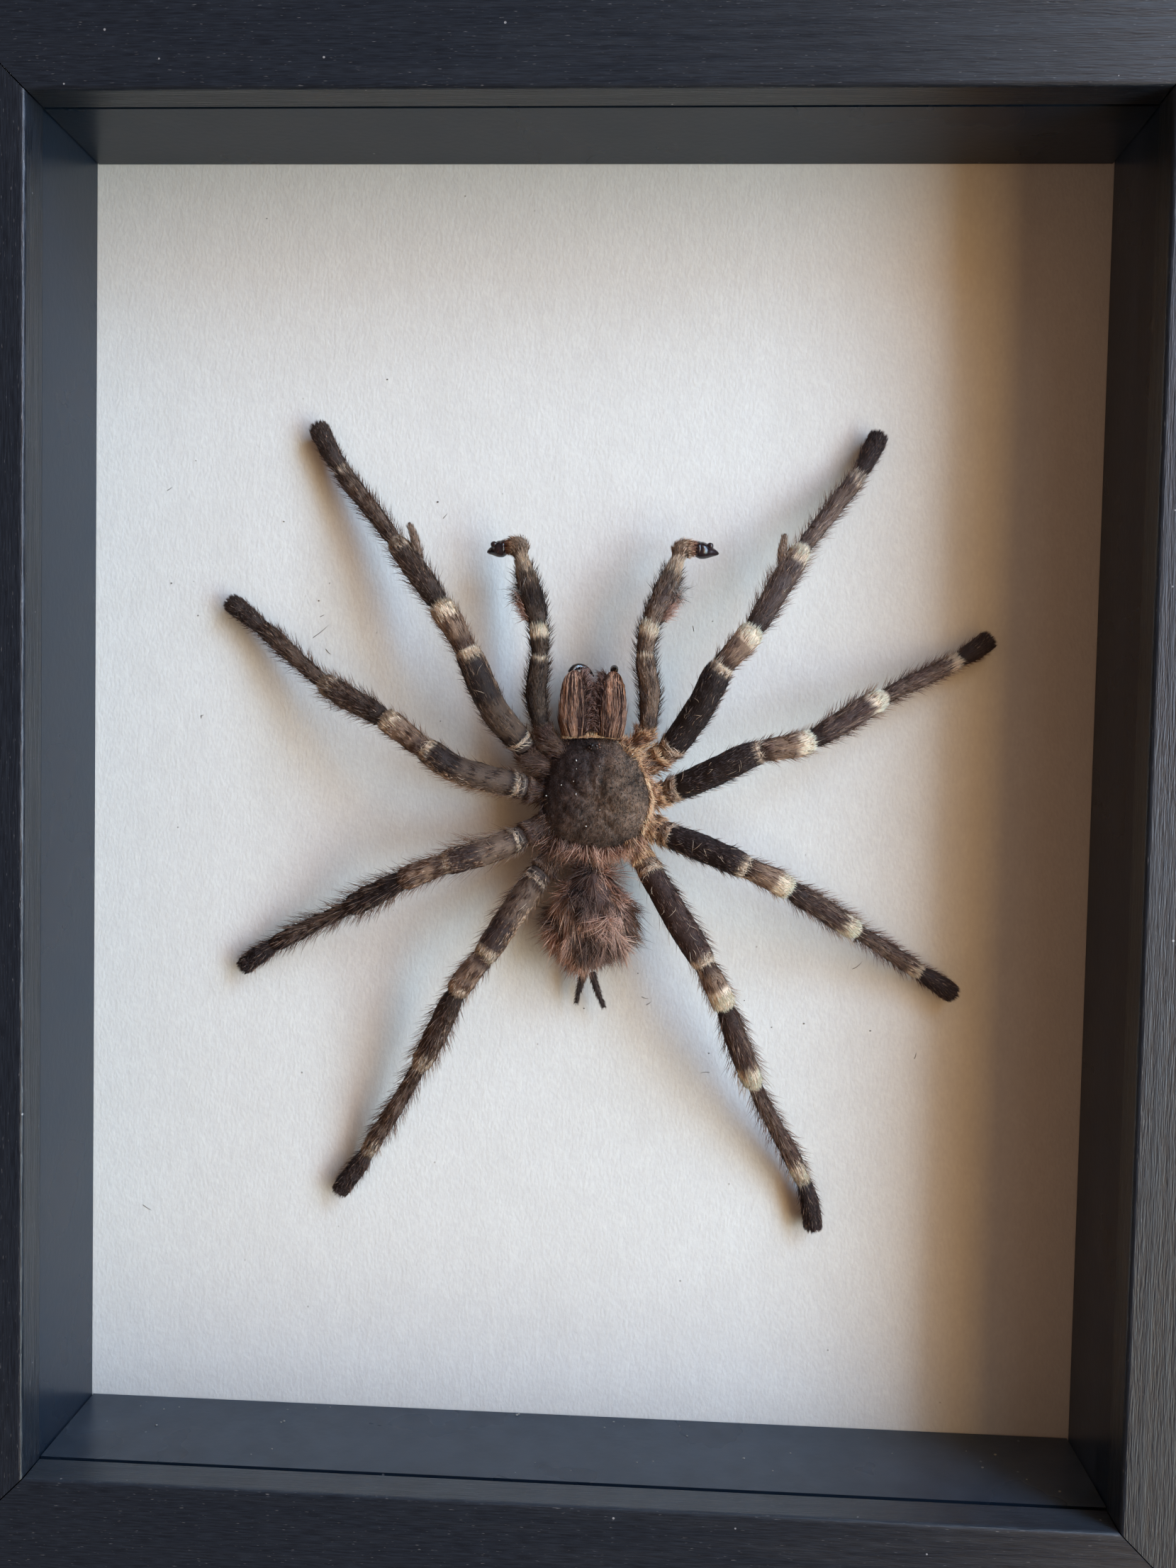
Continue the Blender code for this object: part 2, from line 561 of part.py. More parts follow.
def add_cephalothorax(collection, cutters, material):
    """Add the carapace and sternum, joined with the eye mound and the bases of all limbs."""
    body = add_mesh_object("cephalothorax", ball_mesh("cephalothorax", 28, 16, carapace_shape),
                           collection, material)
    join_with(body, ball_mesh("eye_mound", 10, 6, eye_shape), cutters)
    for name, points in LEG_POINTS.items():
        first = [points[0], leg_start_heading(points)]
        route = [place_on_card(point) for point in coxa_route(first)]
        join_with(body, tube_mesh(name + "_coxa", route, COXA_RADII), cutters)
    for name, points in PALP_POINTS.items():
        route = [place_on_card(point) for point in coxa_route(points[:2])]
        join_with(body, tube_mesh(name + "_coxa", route, PALP_COXA_RADII), cutters)


def add_specimen(collection, cutters, materials):
    """Add the whole tarantula."""
    dark = materials["hairy"]
    add_cephalothorax(collection, cutters, dark)
    abdomen = ball_mesh("abdomen", 26, 16, abdomen_shape)
    add_mesh_object("abdomen", abdomen, collection, materials["abdomen"])
    add_legs(collection, cutters, dark)
    add_palps(collection, dark)
    for name, points in CHELICERA_POINTS.items():
        add_tapered_tube(name, points, CHELICERA_RADII, collection, materials["chelicera"], 3)
    for name, points in FANG_POINTS.items():
        add_tapered_tube(name, points, FANG_RADII, collection, materials["fang"])
    for name, points in SPINNERET_POINTS.items():
        add_tapered_tube(name, points, SPINNERET_RADII, collection, dark)


def main():
    """Build the framed specimen."""
    clear_scene()
    collection = new_collection(COLLECTION_NAME)
    cutters = new_collection(CUTTER_COLLECTION_NAME)
    materials = {
        "frame": new_material("black_wood_grain", (0.02, 0.02, 0.022), 0.45),
        "spacer": new_material("black_spacer", (0.03, 0.03, 0.032), 0.6),
        "glass": new_material("clear_glass", (1.0, 1.0, 1.0), 0.02, transmission=1.0, alpha=0.3),
        "card": new_material("off_white_card", (0.72, 0.71, 0.69), 0.9),
        "panel": new_material("back_board", (0.28, 0.19, 0.12), 0.85),
        "zinc": new_material("zinc_plated_steel", (0.55, 0.55, 0.55), 0.4, metallic=1.0),
        "hairy": new_material("dark_brown_hair", (0.06, 0.04, 0.035), 0.8),
        "abdomen": new_material("abdomen_hair", (0.09, 0.05, 0.04), 0.85),
        "chelicera": new_material("chelicera_hair", (0.22, 0.11, 0.06), 0.8),
        "fang": new_material("black_fang", (0.01, 0.01, 0.012), 0.15),
    }
    add_frame(collection, materials)
    add_glazing(collection, materials)
    add_back_hardware(collection, materials)
    add_specimen(collection, cutters, materials)


main()
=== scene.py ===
"""Framed tarantula specimen: the finished looks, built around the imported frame.

World frame: metres, +Z up, the frame's front to -Y, the origin under the middle of its lower edge.
Places on the specimen are (across, up, height above the card) in millimetres from the card's centre.
"""

import logging
from dataclasses import dataclass
from dataclasses import field
from enum import Enum

import bpy
import numpy as np
from mathutils import Matrix


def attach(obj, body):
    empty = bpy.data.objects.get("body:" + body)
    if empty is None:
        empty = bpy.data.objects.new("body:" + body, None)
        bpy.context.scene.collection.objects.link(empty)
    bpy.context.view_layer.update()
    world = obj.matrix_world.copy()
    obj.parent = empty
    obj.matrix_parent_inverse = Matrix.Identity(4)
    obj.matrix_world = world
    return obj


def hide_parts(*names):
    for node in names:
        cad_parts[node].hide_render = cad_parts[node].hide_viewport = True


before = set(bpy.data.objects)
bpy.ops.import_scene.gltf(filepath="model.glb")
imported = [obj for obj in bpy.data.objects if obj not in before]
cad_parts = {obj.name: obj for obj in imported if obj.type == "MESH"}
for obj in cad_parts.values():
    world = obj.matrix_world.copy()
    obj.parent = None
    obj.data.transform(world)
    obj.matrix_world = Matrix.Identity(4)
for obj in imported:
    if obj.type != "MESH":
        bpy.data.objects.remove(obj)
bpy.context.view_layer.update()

LOG = logging.getLogger("specimen")
Array = np.ndarray
Colour = tuple[float, float, float]
Pair = tuple[float, float]
Row = tuple[float, ...]
Triple = tuple[float, float, float]
Knots = list[Triple]
Profile = list[Pair]
Chance = np.random.Generator

MM = 0.001
FRONT_Y = -22.5 * MM
CARD_Y = 11.3 * MM
CENTRE_Z = 142.9 * MM
OFF_CARD = np.array((0.0, -1.0, 0.0))
REARWARD = np.array((0.0, 0.0, -1.0))
IN_PLANE = np.array((1.0, 0.0, 1.0))  # keeps what lies in the card's plane
COAT = "coat"


# ---- Numbers and surfaces --------------------------------------------------------------------


def on_card(places: Array) -> Array:
    """Turn specimen places in millimetres into world points.

    Args:
        places: Rows of (across, up, height above the card).

    Returns:
        Rows of (across, card's face - height, card's centre + up), in metres.
    """
    places = np.asarray(places, float)
    return stacked(places[..., 0] * MM, CARD_Y - places[..., 2] * MM, CENTRE_Z + places[..., 1] * MM)


def stacked(*axes: Array | float) -> Array:
    """Return the measures side by side, as the columns of one table."""
    return np.stack(np.broadcast_arrays(*axes), -1)


def even_profile(radii: Row) -> Profile:
    """Return a profile that has one of these radii at each knot."""
    return [(float(place), radius) for place, radius in enumerate(radii)]


def unit(vectors: Array) -> Array:
    """Return the vectors, each divided by its length."""
    return vectors / np.maximum(np.linalg.norm(vectors, axis=-1, keepdims=True), 1e-12)


def smoothstep(low: float, high: float, values: Array) -> Array:
    """Return 3 s^2 - 2 s^3, where s runs from 0 at low to 1 at high."""
    share = np.clip((values - low) / (high - low), 0.0, 1.0)
    return share * share * (3.0 - 2.0 * share)


def between(rise: Pair, fall: Pair, values: Array) -> Array:
    """Return a share that climbs from 0 to 1 over the first range and drops back over the second."""
    return smoothstep(*rise, values) * (1.0 - smoothstep(*fall, values))


def mixed(first: Array | Colour, second: Array | Colour, share: Array | float) -> Array:
    """Return first + (second - first) * share, row by row."""
    first = np.asarray(first, float)
    return first + (np.asarray(second) - first) * np.asarray(share)[..., None]


def leaning(along: Array, out: Array, lean: Array) -> Array:
    """Return cos(lean) along + sin(lean) out, row by row."""
    return along * np.cos(lean)[:, None] + out * np.sin(lean)[:, None]


def catmull_rom(knots: Array, places: Array) -> Array:
    """Follow a smooth curve through knots.

    With a, b, c, d the four knots about a place and t its share of the way from b to c, the point is
    half of 2b + (c - a) t + (2a - 5b + 4c - d) t^2 + (3b - a - 3c + d) t^3.

    Args:
        knots: The curve's points, one a row.
        places: Where to read it, in knots from the start.

    Returns:
        One point for each place.
    """
    last = len(knots) - 1
    index = np.clip(places.astype(int), 0, last - 1)
    t = (places - index)[..., None]
    a = knots[np.maximum(index - 1, 0)]
    b = knots[index]
    c = knots[index + 1]
    d = knots[np.minimum(index + 2, last)]
    return 0.5 * (2 * b + (c - a) * t + (2 * a - 5 * b + 4 * c - d) * t**2 + (3 * b - a - 3 * c + d) * t**3)


def read_profile(profile: Profile, places: Array) -> Array:
    """Read a table of (place, value) with cubic Hermite pieces, whose slopes are central differences.

    Args:
        profile: The table, in rising order of place.
        places: Where to read it.

    Returns:
        One value for each place.
    """
    xs, ys = np.array(profile, float).T
    slopes = np.gradient(ys, xs)
    index = np.clip(np.searchsorted(xs, places, side="right") - 1, 0, len(xs) - 2)
    span = xs[index + 1] - xs[index]
    t = np.clip((places - xs[index]) / span, 0.0, 1.0)
    rise = (2 * t**3 - 3 * t**2 + 1) * ys[index] + (3 * t**2 - 2 * t**3) * ys[index + 1]
    lean = (t**3 - 2 * t**2 + t) * slopes[index] + (t**3 - t**2) * slopes[index + 1]
    return rise + lean * span


def read_colours(table: list[tuple[float, Colour]], places: Array) -> Array:
    """Read a table of (place, colour) with straight lines between its rows."""
    xs = [row[0] for row in table]
    return stacked(*(np.interp(places, xs, [row[1][k] for row in table]) for k in range(3)))


def lattice_noise(points: Array, seed: int = 0) -> Array:
    """Return smooth noise from 0 to 1 in three dimensions.

    Each corner of the unit lattice has a hashed value, and the eight about a point are mixed with the
    weights of smoothstep along each axis.

    Args:
        points: Rows of three coordinates, in lattice units.
        seed: Picks one of many lattices.

    Returns:
        One value for each point.
    """
    mix = (73856093, 19349663, 83492791, 2654435761)
    scramble = 1274126177
    low_bits = 0xFFFFFFFF
    levels = 0xFFFF
    base = np.floor(points).astype(np.int64)
    part = points - base
    part = part * part * (3.0 - 2.0 * part)
    total = np.zeros(points.shape[:-1])
    for corner in range(8):
        step = np.array((corner & 1, corner >> 1 & 1, corner >> 2 & 1))
        cell = base + step
        key = cell[..., 0] * mix[0] ^ cell[..., 1] * mix[1] ^ cell[..., 2] * mix[2] ^ (seed * mix[3])
        key = ((key ^ (key >> 13)) & low_bits) * scramble & low_bits
        key = (key ^ (key >> 16)) & levels
        weight = np.prod(np.where(step == 1, part, 1.0 - part), -1)
        total += weight * key / levels
    return total


@dataclass
class Shell:
    """Closed surfaces as arrays: points, triangles, quads and one colour for each point."""

    points: Array
    triangles: Array
    quads: Array
    colours: Array
    strands: Array | None = None

    @staticmethod
    def joined(shells: list["Shell"]) -> "Shell":
        """Join shells into one, with their faces and hairs renumbered.

        Args:
            shells: The shells, all of hairs if the result is to be laid out as hairs.

        Returns:
            One shell.
        """
        starts = np.cumsum([0] + [len(shell.points) for shell in shells[:-1]])
        strands = None
        if all(shell.strands is not None for shell in shells):
            firsts = np.cumsum([0] + [int(shell.strands[-1, 0]) + 1 for shell in shells[:-1]])
            numbered = [shell.strands + (first, 0.0, 0.0) for shell, first in zip(shells, firsts)]
            strands = np.concatenate(numbered)
        return Shell(
            np.concatenate([shell.points for shell in shells]),
            np.concatenate([shell.triangles + start for shell, start in zip(shells, starts)]),
            np.concatenate([shell.quads + start for shell, start in zip(shells, starts)]),
            np.concatenate([shell.colours for shell in shells]),
            strands,
        )

    def kept_off_card(self, clearance: float = 0.05) -> "Shell":
        """Press every point that dips below the card's face back to this height above it, in mm."""
        self.points[:, 1] = np.minimum(self.points[:, 1], CARD_Y - clearance * MM)
        return self

    def mesh(self, name: str) -> bpy.types.Mesh:
        """Turn the surfaces into a Blender mesh, smooth shaded, with the colour attribute.

        Args:
            name: The mesh's name.

        Returns:
            The mesh.
        """
        mesh = bpy.data.meshes.new(name)
        loops = np.concatenate([self.triangles.ravel(), self.quads.ravel()]).astype(np.int32)
        totals = np.concatenate([np.full(len(self.triangles), 3), np.full(len(self.quads), 4)])
        starts = np.concatenate([[0], np.cumsum(totals)[:-1]]).astype(np.int32)
        mesh.vertices.add(len(self.points))
        mesh.vertices.foreach_set("co", self.points.astype(np.float32).ravel())
        mesh.loops.add(len(loops))
        mesh.loops.foreach_set("vertex_index", loops)
        mesh.polygons.add(len(totals))
        mesh.polygons.foreach_set("loop_start", starts)
        mesh.polygons.foreach_set("use_smooth", np.ones(len(totals), bool))
        mesh.update(calc_edges=True)
        mesh.validate()
        layer = mesh.color_attributes.new(COAT, "FLOAT_COLOR", "POINT")
        rgba = np.concatenate([self.colours, np.ones((len(self.points), 1))], 1)
        layer.data.foreach_set("color", rgba.astype(np.float32).ravel())
        if self.strands is not None:
            self.lay_out(mesh)
        return mesh

    def lay_out(self, mesh: bpy.types.Mesh) -> None:
        """Lay the hairs out flat, one to a cell of a square grid of n by n cells.

        A point of hair i with the local place (a, b) stands at ((i mod n) + 0.5 + 0.48 a) / n across and
        ((i div n) + 0.5 + 0.48 b) / n up.

        Args:
            mesh: The mesh that gets the flat layout.
        """
        cell_half = 0.48
        side = int(np.ceil(np.sqrt(self.strands[-1, 0] + 1)))
        cells = np.stack([self.strands[:, 0] % side, self.strands[:, 0] // side], 1)
        flat = (cells + 0.5 + cell_half * self.strands[:, 1:]) / side
        index = np.empty(len(mesh.loops), np.int32)
        mesh.loops.foreach_get("vertex_index", index)
        layer = mesh.uv_layers.new(name="OFBake")
        layer.data.foreach_set("uv", flat[index].astype(np.float32).ravel())


def grid_shell(rings: Array, first: Array, last: Array, colour: Colour = (0.5, 0.5, 0.5)) -> Shell:
    """Close a stack of rings with a pole at each end.

    Args:
        rings: Points as (ring, place in the ring, xyz); rings run counter-clockwise about the way on.
        first: The pole before the first ring.
        last: The pole after the last ring.
        colour: The colour given to every point.

    Returns:
        The closed surface, its faces pointing outwards.
    """
    count, sides, _ = rings.shape
    points = np.concatenate([rings.reshape(-1, 3), first[None], last[None]])
    ring = np.arange(count - 1)[:, None] * sides
    here = np.arange(sides)[None]
    after = (here + 1) % sides
    quads = stacked(ring + here, ring + after, ring + sides + after, ring + sides + here).reshape(-1, 4)
    low = np.full(sides, count * sides)
    top = (count - 1) * sides
    start = stacked(low, after[0], here[0])
    end = stacked(low + 1, top + here[0], top + after[0])
    colours = np.tile(colour, (len(points), 1)).astype(float)
    return Shell(points, np.concatenate([start, end]), quads, colours)


@dataclass
class Tube:
    """A limb's skin: a circle of changing radius carried along a smooth curve.

    At place u and angle v the point is C(u) + r(u) (cos v * top + sin v * side), where top is the way
    off the card made square to the curve, and side completes the frame.
    """

    knots: Array
    profile: Profile
    share: float = 1.0
    creases: float = 0.0
    reference: Array = field(default_factory=lambda: OFF_CARD)
    crease_size: float = 1.6
    end_crowding: float = 0.25

    def line(self, places: Array) -> Array:
        """Return the curve's points."""
        return catmull_rom(self.knots, places)

    def basis(self, places: Array) -> tuple[Array, Array, Array]:
        """Find how the limb runs.

        Args:
            places: Where, in knots from its start.

        Returns:
            The ways along, to the side and to the top of the limb at each place.
        """
        step = 0.01
        along = unit(self.line(places + step) - self.line(places - step))
        side = unit(np.cross(along, self.reference))
        return along, side, np.cross(side, along)

    def radius(self, places: Array) -> Array:
        """Return the skin's radius in metres at each place."""
        return read_profile(self.profile, places) * self.share * MM

    def surface(self, places: Array, angles: Array) -> tuple[Array, Array, Array]:
        """Find points of the skin.

        Args:
            places: Where along the limb, in knots from its start.
            angles: Where round it, in radians from its top.

        Returns:
            Skin points, their normals and the way along the limb.
        """
        along, side, top = self.basis(places)
        out = np.cos(angles)[..., None] * top + np.sin(angles)[..., None] * side
        points = self.line(places) + self.radius(places)[..., None] * out
        if self.creases:
            dent = lattice_noise(points / (self.crease_size * MM), 3) - 0.5
            points = points + out * (dent * self.creases * MM)[..., None]
        return points, out, along

    def shell(self, stations: int, sides: int) -> Shell:
        """Build the closed skin, with rings closer together towards both ends.

        Args:
            stations: How many rings.
            sides: How many points a ring has.

        Returns:
            The skin.
        """
        low, high = self.profile[0][0], self.profile[-1][0]
        turn = np.linspace(0.0, np.pi, stations)
        even = turn / np.pi
        crowding = self.end_crowding
        places = low + (high - low) * ((1.0 - crowding) * even + crowding * (1.0 - np.cos(turn)) / 2)
        angles = np.linspace(0.0, 2 * np.pi, sides, endpoint=False)
        grid_places, grid_angles = np.meshgrid(places, -angles, indexing="ij")
        rings, _, _ = self.surface(grid_places, grid_angles)
        ends = self.line(np.array((low, high)))
        return grid_shell(rings, ends[0], ends[1])

    def nearest(self, points: Array, samples: int) -> Array:
        """Return each point's place along the curve, from the nearest of this many points of it."""
        places = np.linspace(self.profile[0][0], self.profile[-1][0], samples)
        away = ((points[:, None, :] - self.line(places)[None]) ** 2).sum(-1)
        return places[np.argmin(away, 1)]

    def scattered(self, count: int, rng: Chance, low: float, high: float, share: float = 1.0) -> Array:
        """Scatter places along the limb, spread evenly by its length.

        Args:
            count: How many.
            rng: The seeded source of chance.
            low: The first place that they may take.
            high: The last place that they may take.
            share: The part of the length between these two that they keep to, from its start.

        Returns:
            The places, in knots from the limb's start.
        """
        even = np.linspace(low, high, 400)
        steps = np.linalg.norm(np.diff(self.line(even), axis=0), axis=1)
        length = np.concatenate([[0.0], np.cumsum(steps)])
        return np.interp(rng.uniform(0.0, length[-1] * share, count), length, even)


@dataclass
class Ball:
    """A closed body: a unit ball whose points are moved by the shape method of a subclass."""

    def shape(self, units: Array) -> Array:
        """Return the places in millimetres for points of the unit ball."""
        raise NotImplementedError

    def surface(self, polar: Array, turn: Array) -> tuple[Array, Array, Array]:
        """Find points of the skin.

        Args:
            polar: Angles from the way off the card, in radians.
            turn: Angles about that way, in radians from the right.

        Returns:
            Skin points, their normals and the weight of area about each.
        """
        step = 1e-3
        here = on_card(self.shape(sphere(polar, turn)))
        down = on_card(self.shape(sphere(polar + step, turn))) - here
        round_ = on_card(self.shape(sphere(polar, turn + step))) - here
        normal = np.cross(round_, down)
        area = np.linalg.norm(normal, axis=-1)
        centre = on_card(self.shape(np.zeros(3)))
        flip = np.sign(np.sum(normal * (here - centre), -1, keepdims=True))
        return here, unit(normal) * flip, area

    def shell(self, rings: int, sides: int) -> Shell:
        """Build the closed skin, its poles towards and away from the card.

        Args:
            rings: How many rings lie between the poles.
            sides: How many points a ring has.

        Returns:
            The skin.
        """
        polar = np.linspace(0.0, np.pi, rings + 2)[1:-1]
        turn = np.linspace(0.0, 2 * np.pi, sides, endpoint=False)
        grid_polar, grid_turn = np.meshgrid(polar, turn, indexing="ij")
        points = on_card(self.shape(sphere(grid_polar, grid_turn)))
        poles = on_card(self.shape(np.array(((0.0, 0.0, 1.0), (0.0, 0.0, -1.0)))))
        return grid_shell(points, poles[0], poles[1])

    def scattered(self, count: int, rng: Chance, lowest: float) -> tuple[Array, Array, Array]:
        """Scatter points evenly over the part that can be seen.

        Args:
            count: How many points to keep.
            rng: The seeded source of chance.
            lowest: The largest polar angle used, in radians from the way off the card.

        Returns:
            Points, normals and the unit ball's points that they come from.
        """
        polar = np.arccos(rng.uniform(np.cos(lowest), 1.0, count * 4))
        turn = rng.uniform(0.0, 2 * np.pi, count * 4)
        points, normals, area = self.surface(polar, turn)
        weight = area / np.maximum(np.sin(polar), 1e-3)
        largest = np.quantile(weight, 0.98)
        keep = rng.uniform(0.0, largest, len(weight)) < weight
        chosen = np.flatnonzero(keep)[:count]
        return points[chosen], normals[chosen], sphere(polar, turn)[chosen]


def sphere(polar: Array, turn: Array) -> Array:
    """Return points of the unit ball, its pole off the card."""
    return stacked(np.sin(polar) * np.cos(turn), np.sin(polar) * np.sin(turn), np.cos(polar))


@dataclass
class Hairs:
    """Many hairs at once. Each is root + length * (t * heading + t^2 * bend), t from 0 to 1.

    Lengths and widths are in millimetres.
    """

    roots: Array
    headings: Array
    bends: Array | float
    lengths: Array
    widths: Array | float
    root_colours: Array | Colour
    tip_colours: Array | Colour

    def shell(self, rings: int) -> Shell:
        """Build closed three-sided spikes.

        Ring k stands at t = k / rings and has the radius width / 2 * sqrt(1 - (k / rings)^2 * 0.75); the
        last point is the tip. Laid out flat, ring k is a triangle of radius 1 - k / rings about the tip.

        Args:
            rings: How many rings a hair has below its tip.

        Returns:
            All hairs as one shell.
        """
        count = len(self.roots)
        thinning = 0.75
        first = np.broadcast_to(self.root_colours, (count, 3))
        last = np.broadcast_to(self.tip_colours, (count, 3))
        reach = (self.lengths * MM)[:, None]
        widths = np.broadcast_to(np.asarray(self.widths, float) * MM, count)
        helper = np.where(np.abs(self.headings[:, 1:2]) < 0.8, OFF_CARD, -REARWARD)
        across = unit(np.cross(helper, self.headings))
        other = np.cross(self.headings, across)
        turns = np.arange(3) * 2 * np.pi / 3
        levels = []
        shades = []
        local = []
        for level in range(rings):
            t = level / rings
            line = self.roots + reach * (self.headings * t + self.bends * t * t)
            radius = widths[:, None] / 2 * np.sqrt(1.0 - thinning * t * t)
            ring = [line + radius * (np.cos(a) * across + np.sin(a) * other) for a in turns]
            levels.append(np.stack(ring, 1))
            shades.append(np.repeat(mixed(first, last, t)[:, None], 3, 1))
            local.append((1.0 - t) * stacked(np.cos(turns), np.sin(turns)))
        levels.append((self.roots + reach * (self.headings + self.bends))[:, None])
        shades.append(mixed(first, last, 1.0)[:, None])
        local.append(np.zeros((1, 2)))
        points = np.concatenate(levels, 1)
        per_hair = points.shape[1]
        edges = ((0, 1), (1, 2), (2, 0))
        quads = [(low + i, low + j, low + 3 + j, low + 3 + i)
                 for low in range(0, 3 * rings - 3, 3) for i, j in edges]
        top = 3 * (rings - 1)
        triangles = [(0, 2, 1)] + [(top + i, top + j, per_hair - 1) for i, j in edges]
        start = (np.arange(count) * per_hair)[:, None, None]
        spots = np.tile(np.concatenate(local), (count, 1))
        return Shell(
            points.reshape(-1, 3),
            (np.array(triangles)[None] + start).reshape(-1, 3),
            (np.array(quads, int).reshape(1, -1, 4) + start).reshape(-1, 4),
            np.concatenate(shades, 1).reshape(-1, 3),
            np.column_stack([np.repeat(np.arange(count), per_hair), spots]),
        )


# ---- Materials -------------------------------------------------------------------------------


Socket = bpy.types.NodeSocket
FULL = (0.0, 1.0)


class Nodes:
    """Adds and links the nodes of one shader tree."""

    def __init__(self, tree: bpy.types.NodeTree) -> None:
        """Keep the tree that the nodes go into."""
        self.tree = tree

    def put(self, kind: str, inputs: dict | None = None, **settings: object) -> bpy.types.Node:
        """Add a node.

        Args:
            kind: The node's type, without "ShaderNode".
            inputs: Values or other nodes' outputs for its sockets, by name or number.
            settings: Values for its properties.

        Returns:
            The new node.
        """
        node = self.tree.nodes.new("ShaderNode" + kind)
        for name, value in settings.items():
            setattr(node, name, value)
        for name, value in (inputs or {}).items():
            socket = node.inputs[name]
            if isinstance(value, Socket):
                self.tree.links.new(value, socket)
            elif socket.type == "RGBA" and len(value) == 3:
                socket.default_value = (*value, 1.0)
            else:
                socket.default_value = value
        return node

    def sum(self, first: Socket, second: Socket) -> Socket:
        """Return first + second."""
        return self.put("Math", {0: first, 1: second}, operation="ADD").outputs[0]

    def product(self, first: Socket, second: Socket) -> Socket:
        """Return first * second."""
        return self.put("Math", {0: first, 1: second}, operation="MULTIPLY").outputs[0]

    def below(self, first: Socket, second: Socket) -> Socket:
        """Return 1 where first is less than second, else 0."""
        return self.put("Math", {0: first, 1: second}, operation="LESS_THAN").outputs[0]

    def blend(self, share: Socket, first: Socket | Colour, second: Socket | Colour) -> Socket:
        """Return the mix of two colours."""
        return self.put("Mix", {0: share, 6: first, 7: second}, data_type="RGBA").outputs[2]

    def span(self, value: Socket, start: Pair, end: Pair) -> Socket:
        """Return a value mapped from one range to the other, and clamped."""
        ends = zip(("From Min", "From Max", "To Min", "To Max"), (*start, *end))
        return self.put("MapRange", {"Value": value, **dict(ends)}).outputs[0]

    def place(self) -> Socket:
        """Return the object coordinates, which are the world's because every piece sits at the origin."""
        return self.put("TexCoord").outputs["Object"]

    def bump(self, height: Socket, distance: float) -> Socket:
        """Return the normal of a bump of this depth in metres."""
        return self.put("Bump", {"Height": height, "Distance": distance, "Strength": 1.0}).outputs[0]

    def finish(self, surface: Socket) -> None:
        """Link a shader to the material's output."""
        output = self.put("OutputMaterial")
        self.tree.links.new(surface, output.inputs["Surface"])


def new_material(name: str) -> tuple[bpy.types.Material, Nodes]:
    """Return an empty node material and the tool that fills it."""
    material = bpy.data.materials.new(name)
    material.use_nodes = True
    material.node_tree.nodes.clear()
    return material, Nodes(material.node_tree)


def new_group(name: str, inputs: dict[str, object], output: str) -> tuple[Nodes, dict[str, Socket], Socket]:
    """Start a shader node group that puts out one value.

    Args:
        name: The group's name.
        inputs: The starting value of each input, a number or a vector.
        output: The name of the value.

    Returns:
        The tool that fills the group, its inputs by name, and the socket that takes the value.
    """
    tree = bpy.data.node_groups.new(name, "ShaderNodeTree")
    for title, value in inputs.items():
        kind = "Vector" if isinstance(value, tuple) else "Float"
        socket = tree.interface.new_socket(title, in_out="INPUT", socket_type="NodeSocket" + kind)
        socket.default_value = value
    tree.interface.new_socket(output, in_out="OUTPUT", socket_type="NodeSocketFloat")
    given = tree.nodes.new("NodeGroupInput")
    made = tree.nodes.new("NodeGroupOutput")
    return Nodes(tree), {title: given.outputs[title] for title in inputs}, made.inputs[output]


